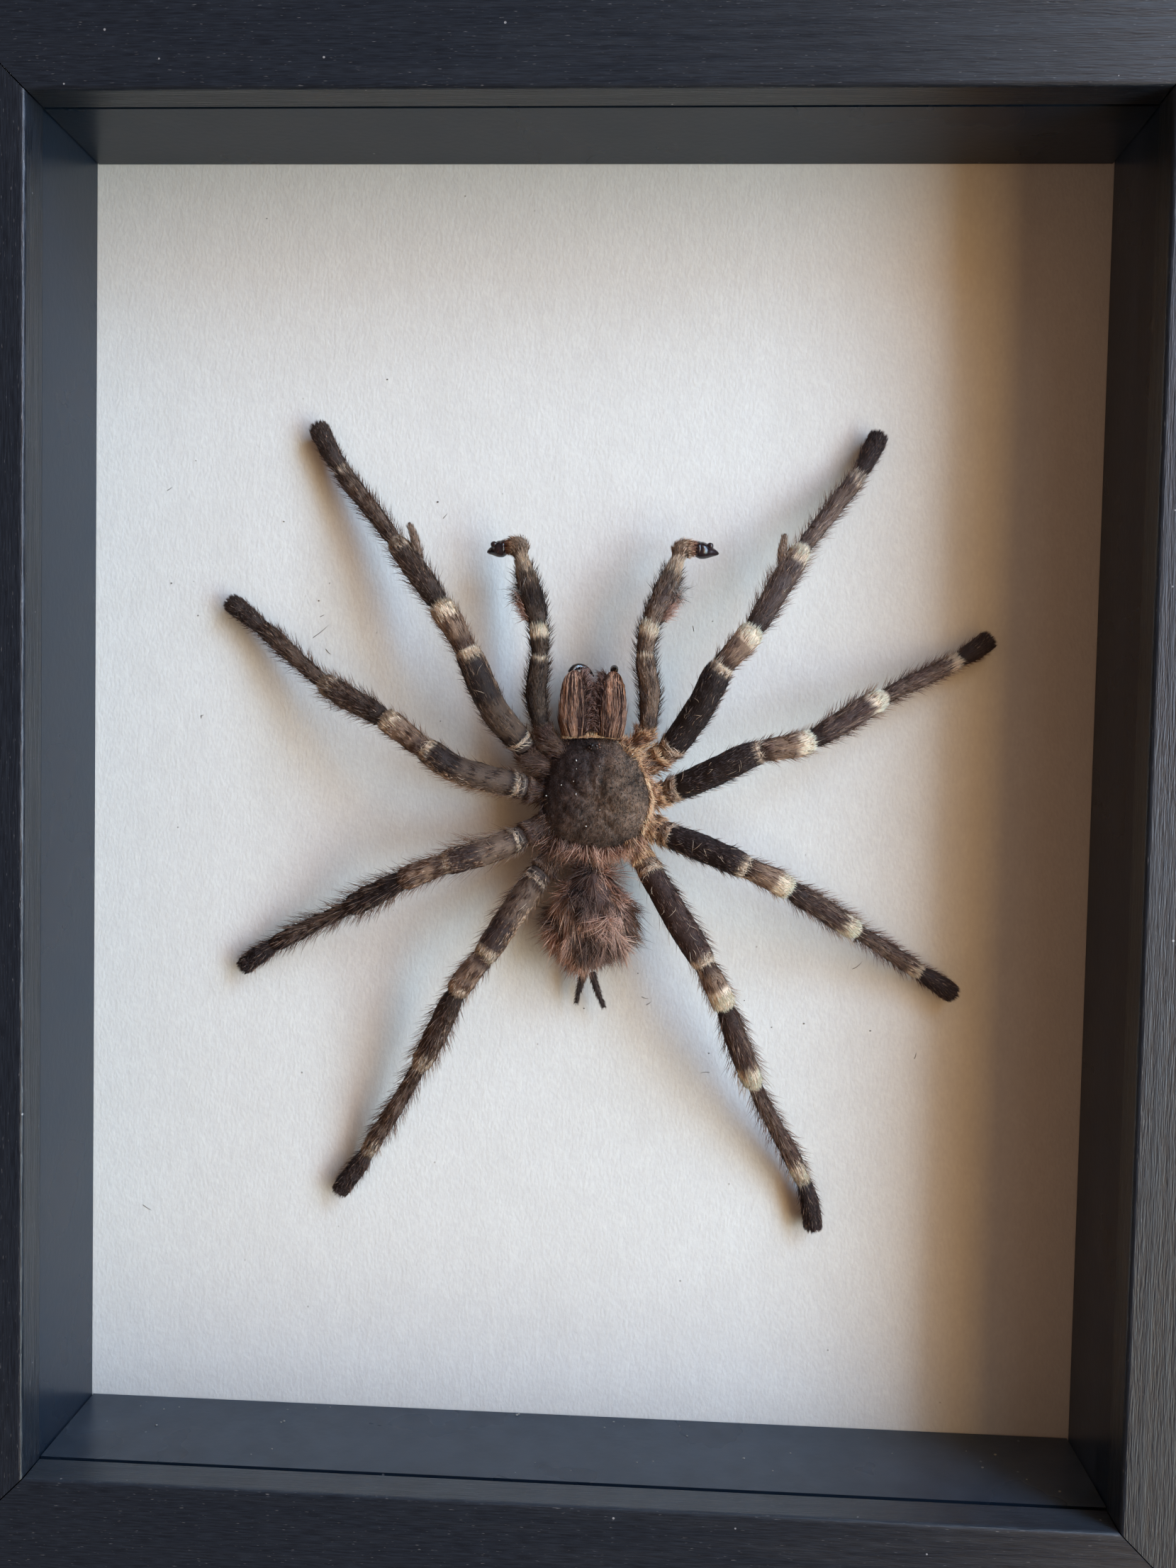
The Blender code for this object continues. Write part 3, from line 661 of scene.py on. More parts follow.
class Effects:
    """Effects that several finishes share, each built once as a node group."""

    def __init__(self) -> None:
        """Build the groups."""
        self.drawn = self.drawn_noise()
        self.flecks = self.fleck_mask()
        # Painted light from above on faces that look up.
        self.top_light = self.top_light_patches()

    @staticmethod
    def drawn_noise() -> bpy.types.NodeTree:
        """Build noise stretched by a vector, for grain and paper fibre.

        Returns:
            The group. Its value runs from 0 to 1 as the noise runs from Low to High.
        """
        start = {"Vector": (0.0,) * 3, "Stretch": (1.0,) * 3, "Detail": 3.0, "Low": 0.3, "High": 0.7}
        nodes, given, made = new_group("drawn_noise", start, "Value")
        point = nodes.put("VectorMath", {0: given["Vector"], 1: given["Stretch"]}, operation="MULTIPLY")
        noise = nodes.put("TexNoise", {"Vector": point.outputs[0], "Scale": 1.0, "Detail": given["Detail"]})
        inputs = {"Value": noise.outputs["Fac"], "From Min": given["Low"], "From Max": given["High"]}
        nodes.tree.links.new(nodes.put("MapRange", inputs).outputs[0], made)
        return nodes.tree

    @staticmethod
    def fleck_mask() -> bpy.types.NodeTree:
        """Build scattered flecks: some cells hold one, as wide as this share of the cell.

        Returns:
            The group. Its mask is 1 on a fleck.
        """
        start = {"Vector": (0.0,) * 3, "Cells": 500.0, "Chance": 0.1, "Width": 0.15}
        nodes, given, made = new_group("flecks", start, "Mask")
        cells = nodes.put("TexVoronoi", {"Vector": given["Vector"], "Scale": given["Cells"]})
        near = nodes.below(cells.outputs["Distance"], given["Width"])
        pick = nodes.put("SeparateColor", {0: cells.outputs["Color"]})
        lucky = nodes.below(pick.outputs[0], given["Chance"])
        nodes.tree.links.new(nodes.product(near, lucky), made)
        return nodes.tree

    @staticmethod
    def top_light_patches() -> bpy.types.NodeTree:
        """Build painted light from above on faces that look up: its share rises with the normal's Z from 0.5
        to 1.

        Returns:
            The group. Its mask also varies in soft patches.
        """
        nodes, given, made = new_group("top_light_patches", {"Vector": (0.0,) * 3, "Share": 0.1}, "Mask")
        normal = nodes.put("NewGeometry").outputs["Normal"]
        upward = nodes.put("SeparateXYZ", {0: normal}).outputs[2]
        point = nodes.put("VectorMath", {0: given["Vector"], "Scale": 190.0}, operation="SCALE").outputs[0]
        patch = nodes.put("TexNoise", {"Vector": point, "Scale": 1.0, "Detail": 5.0}).outputs["Fac"]
        soft = nodes.span(patch, (0.25, 0.65), (0.55, 1.0))
        laid = nodes.product(nodes.span(upward, (0.5, 1.0), FULL), soft)
        nodes.tree.links.new(nodes.product(laid, given["Share"]), made)
        return nodes.tree


class Paint:
    """A finish in the making: its material, its nodes and the effects that finishes share."""

    def __init__(self, name: str, effects: Effects) -> None:
        """Start an empty material whose patterns read the object coordinates."""
        self.material, self.nodes = new_material(name)
        self.effects = effects
        self.place = self.nodes.place()

    def effect(self, tree: bpy.types.NodeTree, inputs: dict[str, object]) -> Socket:
        """Add one of the shared effects.

        Args:
            tree: The effect's node group.
            inputs: Values for its inputs, other than Vector.

        Returns:
            The effect's value.
        """
        node = self.nodes.tree.nodes.new("ShaderNodeGroup")
        node.node_tree = tree
        self.nodes.tree.links.new(self.place, node.inputs["Vector"])
        for name, value in inputs.items():
            node.inputs[name].default_value = value
        return node.outputs[0]

    def drawn(self, stretch: Triple, detail: float, low: float = 0.3, high: float = 0.7) -> Socket:
        """Return noise of this stretch, mapped from low..high to 0..1."""
        inputs = {"Stretch": stretch, "Detail": detail, "Low": low, "High": high}
        return self.effect(self.effects.drawn, inputs)

    def flecks(self, cells: float, chance: float, width: float) -> Socket:
        """Return the mask of flecks in cells of this many to the metre."""
        return self.effect(self.effects.flecks, {"Cells": cells, "Chance": chance, "Width": width})

    def lit_from_above(self, colour: Socket, dust: Colour, share: float) -> Socket:
        """Return the colour lighter on what looks up: painted light from above."""
        return self.nodes.blend(self.effect(self.effects.top_light, {"Share": share}), colour, dust)

    def spread(self, mask: Socket, first: float, second: float) -> Socket:
        """Return a value that goes from first to second with the mask."""
        return self.nodes.span(mask, FULL, (first, second))

    def over(self, colour: Socket | Colour, other: Colour, mask: Socket, *share: float) -> Socket:
        """Return the colour with another over it, whose share goes between these two with the mask."""
        return self.nodes.blend(self.spread(mask, *share), colour, other)

    def finish(self, inputs: dict[str, object]) -> bpy.types.Material:
        """Close the material with a Principled shader that has these inputs, and return it."""
        self.nodes.finish(self.nodes.put("BsdfPrincipled", inputs).outputs[0])
        return self.material


class GrainRun(Enum):
    """Which way a rail's pressed grain runs."""

    LEVEL = "level"
    UPRIGHT = "upright"

    def stretch(self, across: float, along: float) -> Triple:
        """Return the stretch for strands of these two frequencies per metre."""
        return (along, across, across) if self is GrainRun.LEVEL else (across, across, along)


@dataclass(frozen=True)
class BlackGrain:
    """Satin black moulding with a fine pressed wood grain."""

    run: GrainRun
    base: Colour = (0.004, 0.006, 0.010)
    worn: Colour = (0.013, 0.018, 0.026)
    # Colour of the painted glints on the grain.
    grain_glint: Colour = (0.42, 0.41, 0.40)
    dust: Colour = (0.45, 0.45, 0.45)
    # Colour of the painted light from above on faces that look up.
    top_light: Colour = (0.33, 0.42, 0.52)
    relief: float = 0.000035

    def build(self, effects: Effects) -> bpy.types.Material:
        """Build the grain from broad and fine strands, with thin pale marks painted as glints on the grain,
        dust specks, and painted light on what looks up.

        Args:
            effects: The shared effects.

        Returns:
            The material.
        """
        paint = Paint("black_grain_" + self.run.value, effects)
        broad = paint.drawn(self.run.stretch(900.0, 40.0), 5.0, 0.35, 0.75)
        fine = paint.drawn(self.run.stretch(3600.0, 260.0), 3.0, 0.35, 0.72)
        grain_glints = paint.drawn(self.run.stretch(5200.0, 700.0), 1.0, 0.69, 0.78)
        specks = paint.flecks(420.0, 0.05, 0.09)
        colour = paint.nodes.blend(fine, self.base, self.worn)
        # Painted highlight: thin pale marks stand for glints on the grain.
        colour = paint.over(colour, self.grain_glint, grain_glints, 0.0, 0.22)
        colour = paint.over(colour, self.dust, specks, 0.0, 0.5)
        # Painted light from above: faces that look up are lighter and bluer.
        colour = paint.lit_from_above(colour, self.top_light, 0.075)
        rough = paint.spread(broad, 0.30, 0.46)
        normal = paint.nodes.bump(paint.nodes.sum(fine, broad), self.relief)
        return paint.finish({"Base Color": colour, "Roughness": rough, "Normal": normal})


@dataclass(frozen=True)
class SatinBlack:
    """Smooth black film on the strips between glass and card, with a little dust."""

    base: Colour = (0.008, 0.015, 0.027)
    cloudy: Colour = (0.011, 0.020, 0.034)
    dust: Colour = (0.40, 0.40, 0.42)
    # Colour of the painted light from above on faces that look up.
    top_light: Colour = (0.33, 0.42, 0.54)
    relief: float = 0.000012

    def build(self, effects: Effects) -> bpy.types.Material:
        """Build the film from a faint cloud and an even peel.

        Args:
            effects: The shared effects.

        Returns:
            The material.
        """
        paint = Paint("satin_black_strip", effects)
        peel = paint.drawn((900.0,) * 3, 4.0)
        cloud = paint.drawn((45.0,) * 3, 3.0, 0.35)
        specks = paint.flecks(330.0, 0.07, 0.08)
        colour = paint.nodes.blend(cloud, self.base, self.cloudy)
        colour = paint.over(colour, self.dust, specks, 0.0, 0.35)
        # Painted light from above: faces that look up are lighter and bluer.
        colour = paint.lit_from_above(colour, self.top_light, 0.105)
        return paint.finish({"Base Color": colour, "Roughness": paint.spread(cloud, 0.26, 0.36),
                             "Specular IOR Level": 0.31, "Normal": paint.nodes.bump(peel, self.relief)})


@dataclass(frozen=True)
class ClearGlass:
    """Low-reflection picture glass that lets shadow rays and the card's scattered light through."""

    tint: Colour = (0.945, 0.954, 0.949)
    mirrored: Colour = (0.12, 0.12, 0.13)
    passing: Colour = (0.93, 0.94, 0.935)

    def build(self, effects: Effects) -> bpy.types.Material:
        """Build clear glass for rays from the camera, and a plain tint for all others.

        Args:
            effects: The shared effects, which this finish leaves unused.

        Returns:
            The material.
        """
        material, nodes = new_material("picture_glass")
        pane = nodes.put("BsdfPrincipled", {"Base Color": self.tint, "Roughness": 0.0, "IOR": 1.5,
                                            "Specular Tint": self.mirrored, "Transmission Weight": 1.0})
        clear = nodes.put("BsdfTransparent", {"Color": self.passing})
        rays = nodes.put("LightPath").outputs
        straight = {0: rays["Is Camera Ray"], 1: rays["Is Transmission Ray"]}
        seen = nodes.put("Math", straight, operation="MAXIMUM")
        both = nodes.put("MixShader", {0: seen.outputs[0], 1: clear.outputs[0], 2: pane.outputs[0]})
        nodes.finish(both.outputs[0])
        return material


@dataclass(frozen=True)
class LaidCard:
    """Off-white card with a fine upright fibre relief, painted shade where that relief is low, faint clouding
    and tiny dark flecks.
    """

    base: Colour = (0.834, 0.832, 0.788)
    shade: Colour = (0.787, 0.779, 0.731)
    # Painted shade where the fibre and strand relief is low.
    fibre_hollow_shade: Colour = (0.68, 0.66, 0.64)
    strand_hollow_shade: Colour = (0.69, 0.67, 0.65)
    speck: Colour = (0.30, 0.25, 0.20)
    strand_height: float = 0.55
    relief: float = 0.000036

    def build(self, effects: Effects) -> bpy.types.Material:
        """Build the card from fine fibre, broader strands and a cloud.

        Args:
            effects: The shared effects.

        Returns:
            The material.
        """
        paint = Paint("laid_card", effects)
        fibre = paint.drawn((1900.0, 1300.0, 1150.0), 4.0, 0.32)
        strand = paint.drawn((520.0, 500.0, 330.0), 3.0, 0.35, 0.68)
        cloud = paint.drawn((120.0, 95.0, 90.0), 6.0, 0.40, 0.74)
        specks = paint.flecks(260.0, 0.022, 0.045)
        colour = paint.over(self.base, self.shade, cloud, 0.0, 0.85)
        # Painted shade: darker where the fibre and strand relief is low.
        colour = paint.over(colour, self.fibre_hollow_shade, fibre, 0.42, 0.0)
        colour = paint.over(colour, self.strand_hollow_shade, strand, 0.22, 0.0)
        colour = paint.over(colour, self.speck, specks, 0.0, 0.7)
        heights = {0: strand, 1: self.strand_height, 2: fibre}
        height = paint.nodes.put("Math", heights, operation="MULTIPLY_ADD").outputs[0]
        return paint.finish({"Base Color": colour, "Roughness": 0.92, "Specular IOR Level": 0.25,
                             "Normal": paint.nodes.bump(height, self.relief)})


@dataclass(frozen=True)
class BackBoard:
    """Brown pressed fibre board."""

    base: Colour = (0.235, 0.150, 0.090)
    light: Colour = (0.36, 0.25, 0.16)
    dark: Colour = (0.13, 0.078, 0.045)
    cloudy: Colour = (0.30, 0.20, 0.125)
    fleck: Colour = (0.42, 0.31, 0.20)
    relief: float = 0.00005

    def build(self, effects: Effects) -> bpy.types.Material:
        """Build the board from crossing fibres.

        Args:
            effects: The shared effects.

        Returns:
            The material.
        """
        paint = Paint("fibre_board", effects)
        fibre = paint.drawn((900.0, 900.0, 260.0), 5.0, 0.35, 0.68)
        crossing = paint.drawn((240.0, 900.0, 1100.0), 4.0, 0.5, 0.72)
        cloud = paint.drawn((24.0,) * 3, 3.0, 0.35)
        chips = paint.flecks(480.0, 0.16, 0.16)
        colour = paint.nodes.blend(fibre, self.dark, self.base)
        colour = paint.over(colour, self.light, crossing, 0.0, 0.55)
        colour = paint.over(colour, self.cloudy, cloud, 0.0, 0.35)
        colour = paint.over(colour, self.fleck, chips, 0.0, 0.5)
        height = paint.nodes.sum(fibre, crossing)
        return paint.finish({"Base Color": colour, "Roughness": paint.spread(cloud, 0.62, 0.78),
                             "Specular IOR Level": 0.3, "Normal": paint.nodes.bump(height, self.relief)})


@dataclass(frozen=True)
class ZincSteel:
    """Zinc-plated steel with a faint spangle and rolling marks."""

    base: Colour = (0.62, 0.62, 0.61)
    dull: Colour = (0.38, 0.38, 0.38)
    tarnished: Colour = (0.27, 0.25, 0.22)
    relief: float = 0.00001

    def build(self, effects: Effects) -> bpy.types.Material:
        """Build the plating from crystals, rolling marks and tarnish.

        Args:
            effects: The shared effects.

        Returns:
            The material.
        """
        paint = Paint("zinc_plated_steel", effects)
        marks = paint.drawn((220.0, 4000.0, 5200.0), 4.0)
        spangle = paint.nodes.put("TexVoronoi", {"Vector": paint.place, "Scale": 900.0})
        pick = paint.nodes.put("SeparateColor", {0: spangle.outputs["Color"]}).outputs[0]
        tarnish = paint.drawn((160.0,) * 3, 5.0, 0.45, 0.75)
        colour = paint.over(self.base, self.dull, pick, 0.0, 0.5)
        colour = paint.over(colour, self.tarnished, tarnish, 0.0, 0.6)
        rough = paint.spread(marks, 0.28, 0.46)
        return paint.finish({"Base Color": colour, "Metallic": 1.0, "Roughness": rough,
                             "Normal": paint.nodes.bump(marks, self.relief)})


@dataclass(frozen=True)
class CoatFinish:
    """Hair or the leathery skin under it: the colour is carried by the mesh's own attribute."""

    name: str
    roughness: float
    grain: float
    depth: float
    soil: float = 0.12
    sheen: float = 0.18
    soiled: Colour = (0.02, 0.015, 0.012)

    def build(self, effects: Effects) -> bpy.types.Material:
        """Build the coat with soil and roughness that vary together.

        Args:
            effects: The shared effects.

        Returns:
            The material.
        """
        paint = Paint(self.name, effects)
        coat = paint.nodes.put("Attribute", attribute_name=COAT).outputs["Color"]
        noise = paint.drawn((self.grain,) * 3, 4.0)
        shade = paint.over(coat, self.soiled, noise, self.soil, 0.0)
        rough = paint.spread(noise, self.roughness + 0.08, self.roughness - 0.08)
        return paint.finish({"Base Color": shade, "Roughness": rough, "Specular IOR Level": self.sheen,
                             "Normal": paint.nodes.bump(noise, self.depth)})


@dataclass(frozen=True)
class GlossChitin:
    """Hard dark chitin of fangs, palpal bulbs and eyes."""

    name: str
    base: Colour
    warm: Colour
    roughness: float = 0.14
    relief: float = 0.000004

    def build(self, effects: Effects) -> bpy.types.Material:
        """Build the chitin with a warm cloud and a thin coat.

        Args:
            effects: The shared effects.

        Returns:
            The material.
        """
        paint = Paint(self.name, effects)
        cloud = paint.drawn((700.0,) * 3, 3.0, 0.4, 0.75)
        fine = paint.drawn((4000.0,) * 3, 2.0)
        colour = paint.nodes.blend(cloud, self.base, self.warm)
        rough = paint.spread(cloud, self.roughness, self.roughness + 0.14)
        return paint.finish({"Base Color": colour, "Roughness": rough, "Coat Weight": 0.4,
                             "Coat Roughness": 0.08, "Normal": paint.nodes.bump(fine, self.relief)})


@dataclass(frozen=True)
class PaleFloor:
    """Plain pale studio floor."""

    base: Colour = (0.70, 0.69, 0.68)
    shade: Colour = (0.66, 0.65, 0.635)

    def build(self, effects: Effects) -> bpy.types.Material:
        """Return the material."""
        paint = Paint("pale_floor", effects)
        cloud = paint.drawn((9.0,) * 3, 4.0)
        colour = paint.over(self.base, self.shade, cloud, 0.0, 0.25)
        return paint.finish({"Base Color": colour, "Roughness": 0.75})


# ---- Pieces ----------------------------------------------------------------------------------


def add_piece(name: str, mesh: bpy.types.Mesh, finish: bpy.types.Material, slot: str,
              *nodes: str) -> bpy.types.Object:
    """Add one finished piece to the object.

    Args:
        name: The piece's name.
        mesh: Its mesh, already in place in the world.
        finish: Its material.
        slot: The record's material slot of the piece; not used.
        nodes: The CAD nodes that it stands for.

    Returns:
        The new object, riding on the fixed body.
    """
    mesh.materials.append(finish)
    piece = bpy.data.objects.new(name, mesh)
    bpy.context.scene.collection.objects.link(piece)
    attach(piece, "root")
    if nodes:
        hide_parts(*nodes)
    LOG.info("%s: %d faces", name, len(mesh.polygons))
    return piece


def dress_node(name: str, finish: bpy.types.Material) -> None:
    """Give a CAD node that keeps its shape its finish."""
    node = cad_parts[name]
    if not node.material_slots:
        node.data.materials.append(finish)
    for entry in node.material_slots:
        entry.material = finish
    LOG.info("%s: dressed with %s", name, finish.name)


@dataclass
class ShadowBox:
    """The frame: four mitred rails, glass, spacer strips, card, back board and its hardware."""

    opening: Pair = (194.7 * MM, 245.8 * MM)
    face: float = 20.0 * MM
    depth: float = 45.0 * MM
    lip: float = 7.1 * MM
    rabbet: float = 4.85 * MM
    front_arris: float = 0.8 * MM
    back_arris: float = 0.5 * MM
    small_arris: float = 0.25 * MM
    gap: float = 0.3 * MM

    def section(self) -> Array:
        """Return a rail's section, counter-clockwise: u outwards from the opening, v back from the face.

        Each arris is a quarter circle about its own centre, with a second point 0.12 mm before and after
        it so that the flats beside it stay flat when shaded.
        """
        corners = [
            (0.0, 0.0, self.front_arris, 180.0), (self.face, 0.0, self.front_arris, 270.0),
            (self.face, self.depth, self.back_arris, 0.0), (self.rabbet, self.depth, self.small_arris, 90.0),
            (self.rabbet, self.lip, 0.0, 0.0), (0.0, self.lip, self.small_arris, 90.0),
        ]
        outline = []
        for u, v, radius, start in corners:
            if not radius:
                outline.append(np.array(((u, v),)))
                continue
            centre = np.array((u, v)) - radius * np.sqrt(2) * self.heading(start + 45.0)
            turn = np.linspace(start, start + 90.0, 7)
            arc = centre + radius * self.heading(turn)
            stay = 0.12 * MM
            before = arc[:1] - stay * self.heading(start + 90.0)
            after = arc[-1:] + stay * self.heading(start + 180.0)
            outline += [before, arc, after]
        return np.concatenate(outline)

    @staticmethod
    def heading(degrees: Array) -> Array:
        """Return the unit vector at this angle in the section."""
        turn = np.radians(degrees)
        return stacked(np.cos(turn), np.sin(turn))

    def rail_mesh(self, name: str, along: float, across: float, quarter: int) -> bpy.types.Mesh:
        """Build one mitred rail.

        The section point (u, v) at end s = -1 or 1 stands at (s (along / 2 - gap / 2 + u), v, -(across / 2
        + u)) about the frame's centre, and the rail is turned by quarters about Y.

        Args:
            name: The mesh's name.
            along: The opening's size along the rail.
            across: Its size the other way.
            quarter: How many quarter turns bring the rail from the bottom to its side.

        Returns:
            The mesh.
        """
        section = self.section()
        count = len(section)
        reach = along / 2 - self.gap / 2 + section[:, 0]
        low = -(across / 2 + section[:, 0])
        ends = [np.stack([side * reach, section[:, 1] + FRONT_Y, low], 1) for side in (-1.0, 1.0)]
        points = np.concatenate(ends)
        angle = quarter * np.pi / 2
        turned = np.stack([points[:, 0] * np.cos(angle) + points[:, 2] * np.sin(angle), points[:, 1],
                           points[:, 2] * np.cos(angle) - points[:, 0] * np.sin(angle) + CENTRE_Z], 1)
        here = np.arange(count)
        after = (here + 1) % count
        sides = np.stack([here, here + count, after + count, after], 1).tolist()
        caps = [here.tolist(), (here[::-1] + count).tolist()]
        mesh = bpy.data.meshes.new(name)
        mesh.from_pydata(turned.tolist(), [], sides + caps)
        mesh.polygons.foreach_set("use_smooth", [True] * len(mesh.polygons))
        mesh.set_sharp_from_angle(angle=np.radians(38.0))
        return mesh

    def build(self, effects: Effects) -> None:
        """Build the rails and dress everything that keeps its CAD shape."""
        level = BlackGrain(GrainRun.LEVEL).build(effects)
        upright = BlackGrain(GrainRun.UPRIGHT).build(effects)
        width, height = self.opening
        rails = (("rail_bottom", width, height, 0, level), ("rail_left", height, width, 1, upright),
                 ("rail_top", width, height, 2, level), ("rail_right", height, width, 3, upright))
        for name, along, across, quarter, finish in rails:
            mesh = self.rail_mesh(name, along, across, quarter)
            add_piece(name + "_moulding", mesh, finish, "frame", name)
        strip = SatinBlack().build(effects)
        zinc = ZincSteel().build(effects)
        finishes = {"glass_pane": ClearGlass().build(effects), "backing_card": LaidCard().build(effects),
                    "back_panel": BackBoard().build(effects), "hanger": zinc,
                    "hanger_nail_left": zinc, "hanger_nail_right": zinc}
        finishes.update({"spacer_" + side: strip for side in ("top", "bottom", "left", "right")})
        finishes.update({"retaining_tab_%d" % number: zinc for number in range(1, 9)})
        for name, finish in finishes.items():
            dress_node(name, finish)


# ---- Specimen --------------------------------------------------------------------------------


CREAM = (1.0, 0.80, 0.60)
TAN = (0.52, 0.35, 0.245)
DARK = (0.042, 0.028, 0.026)
GREY = (0.24, 0.175, 0.16)
RUST = (0.36, 0.165, 0.10)
VELVET_BROWN = (0.080, 0.051, 0.042)
# Partly dust, partly painted light on the right side of the carapace.
VELVET_DUSTY_LIT = (0.190, 0.126, 0.090)
VELVET_REAR = (0.092, 0.061, 0.047)
VELVET_HEAD = (0.036, 0.023, 0.021)
VELVET_BROW = (0.21, 0.138, 0.100)
SPECK_WHITE = (0.95, 0.92, 0.86)
MOUND_SKIN = (0.03, 0.022, 0.02)
MOUTH_SKIN = (0.028, 0.017, 0.014)
COXA_SKIN = (0.10, 0.065, 0.05)
MARGIN_DARK = (0.105, 0.068, 0.060)
MARGIN_BRIGHT = (1.0, 0.60, 0.37)
MARGIN_REAR = (0.60, 0.30, 0.20)
EDGE_PALE = (1.0, 0.80, 0.56)
EDGE_TAWNY = (0.72, 0.40, 0.22)
EDGE_LEVEL = (0.80, 0.50, 0.30)
RIM_PALE = (1.0, 0.76, 0.50)
RIM_TAWNY = (0.75, 0.36, 0.20)
WAIST_RUST = (0.38, 0.165, 0.11)
WAIST_PALE = (0.85, 0.55, 0.40)
WAIST_DULL = (0.20, 0.12, 0.095)
# Coxa hair lit on the right and shaded on the left: painted light and painted shade.
COXA_RIGHT_LIT = (0.39, 0.195, 0.112)
COXA_LEFT_SHADED = (0.165, 0.098, 0.080)
COXA_TIP = (1.0, 0.67, 0.39)
ABDOMEN_DARK = (0.075, 0.036, 0.030)
ABDOMEN_RUST = (0.37, 0.170, 0.112)
ABDOMEN_PALE = (0.86, 0.52, 0.385)
# Painted shade in the gaps between locks.
ABDOMEN_HOLLOW_SHADE = (0.046, 0.025, 0.021)
ABDOMEN_REAR = (0.075, 0.040, 0.032)
ABDOMEN_TIP = (0.62, 0.42, 0.33)
ABDOMEN_SKIN = (0.07, 0.038, 0.030)
FRINGE_TAN = (0.42, 0.21, 0.15)
FRINGE_PALE = (0.76, 0.48, 0.35)
BRUSH_DARK = (0.10, 0.055, 0.045)
BRUSH_PINK = (0.62, 0.38, 0.31)
STREAK_DARK = (0.075, 0.036, 0.028)
STREAK_PALE = (1.0, 0.60, 0.41)
STREAK_RUST = (0.50, 0.20, 0.12)
CHELICERA_SKIN = (0.035, 0.022, 0.018)
SPINNERET_SKIN = (0.035, 0.024, 0.022)
SPINNERET_TIP = (0.24, 0.16, 0.13)
HOOK_SKIN = (0.34, 0.23, 0.17)
HOOK_POINT = (0.05, 0.03, 0.025)
HOOK_HAIR = (0.78, 0.57, 0.42)
THREAD_TAWNY = (0.55, 0.36, 0.25)
SETA_PALE = (0.60, 0.42, 0.32)
TUFT_GREY = (0.66, 0.60, 0.54)
WISP_PINK = (0.72, 0.44, 0.34)
LOOSE_HAIR = (0.10, 0.075, 0.06)
SPECK = (0.09, 0.07, 0.055)
SPOT = (0.05, 0.035, 0.028)
LEDGE_CRUMB = (0.30, 0.29, 0.27)


def wavered(headings: Array, places: Array, rng: Chance, clump: float, stray: float,
            size: float = 1.3) -> Array:
    """Turn headings a little.

    Args:
        headings: The ways the hairs grow.
        places: Their roots.
        rng: The seeded source of chance.
        clump: How far neighbours turn together.
        stray: How far each turns alone.
        size: The width of a clump in millimetres.

    Returns:
        The turned headings, each of length 1.
    """
    shared = stacked(*(lattice_noise(places / (size * MM), seed) for seed in (11, 12, 13))) - 0.5
    alone = rng.normal(0.0, 1.0, headings.shape)
    return unit(headings + shared * 2 * clump + alone * stray)


def curled(headings: Array, places: Array, rng: Chance, stray: float, curl: float, clump: float,
           size: float) -> Array:
    """Find bends for locks that curl together.

    Args:
        headings: The ways the hairs grow.
        places: Their roots.
        rng: The seeded source of chance.
        stray: How far each bends alone.
        curl: How strongly a lock bends.
        clump: How far neighbours turn together.
        size: The width of a lock in millimetres.

    Returns:
        The bends.
    """
    alone = rng.normal(0.0, stray, headings.shape)
    return alone + curl * (wavered(headings, places, rng, clump, 0.0, size) - headings)


def paleness(colours: Array) -> Array:
    """Return how pale each colour is, from 0 for dark hair to 1."""
    return smoothstep(0.25, 0.6, colours.mean(-1))


def varied(colours: Array, rng: Chance, spread: float) -> Array:
    """Return each hair's own shade: a log-normal factor, which pale hair takes less of."""
    factor = np.exp(rng.normal(0.0, spread, len(colours)) * (1.0 - 0.7 * paleness(colours)))
    return np.clip(colours * factor[:, None], 0.004, 0.97)


def root_shaded(colours: Array, dark: float = 0.45) -> Array:
    """Return the colour at the roots: darker than the hair, as painted shade deep in the coat, but less so
    where it is pale.
    """
    return colours * (dark + (0.93 - dark) * paleness(colours))[:, None]


@dataclass
class SpecimenFinishes:
    """The materials of the specimen."""

    skin: bpy.types.Material
    hair: bpy.types.Material
    fang: bpy.types.Material
    bulb: bpy.types.Material
    eye: bpy.types.Material


def add_coated(name: str, skin: Shell, hair: Shell, finishes: SpecimenFinishes, slot: str = "hairy") -> None:
    """Add a skin, which stands for the CAD node of this name, and the hair on it."""
    add_piece(name + "_skin", skin.mesh(name), finishes.skin, slot, name)
    add_piece(name + "_hair", hair.mesh(name + "_hair"), finishes.hair, slot)


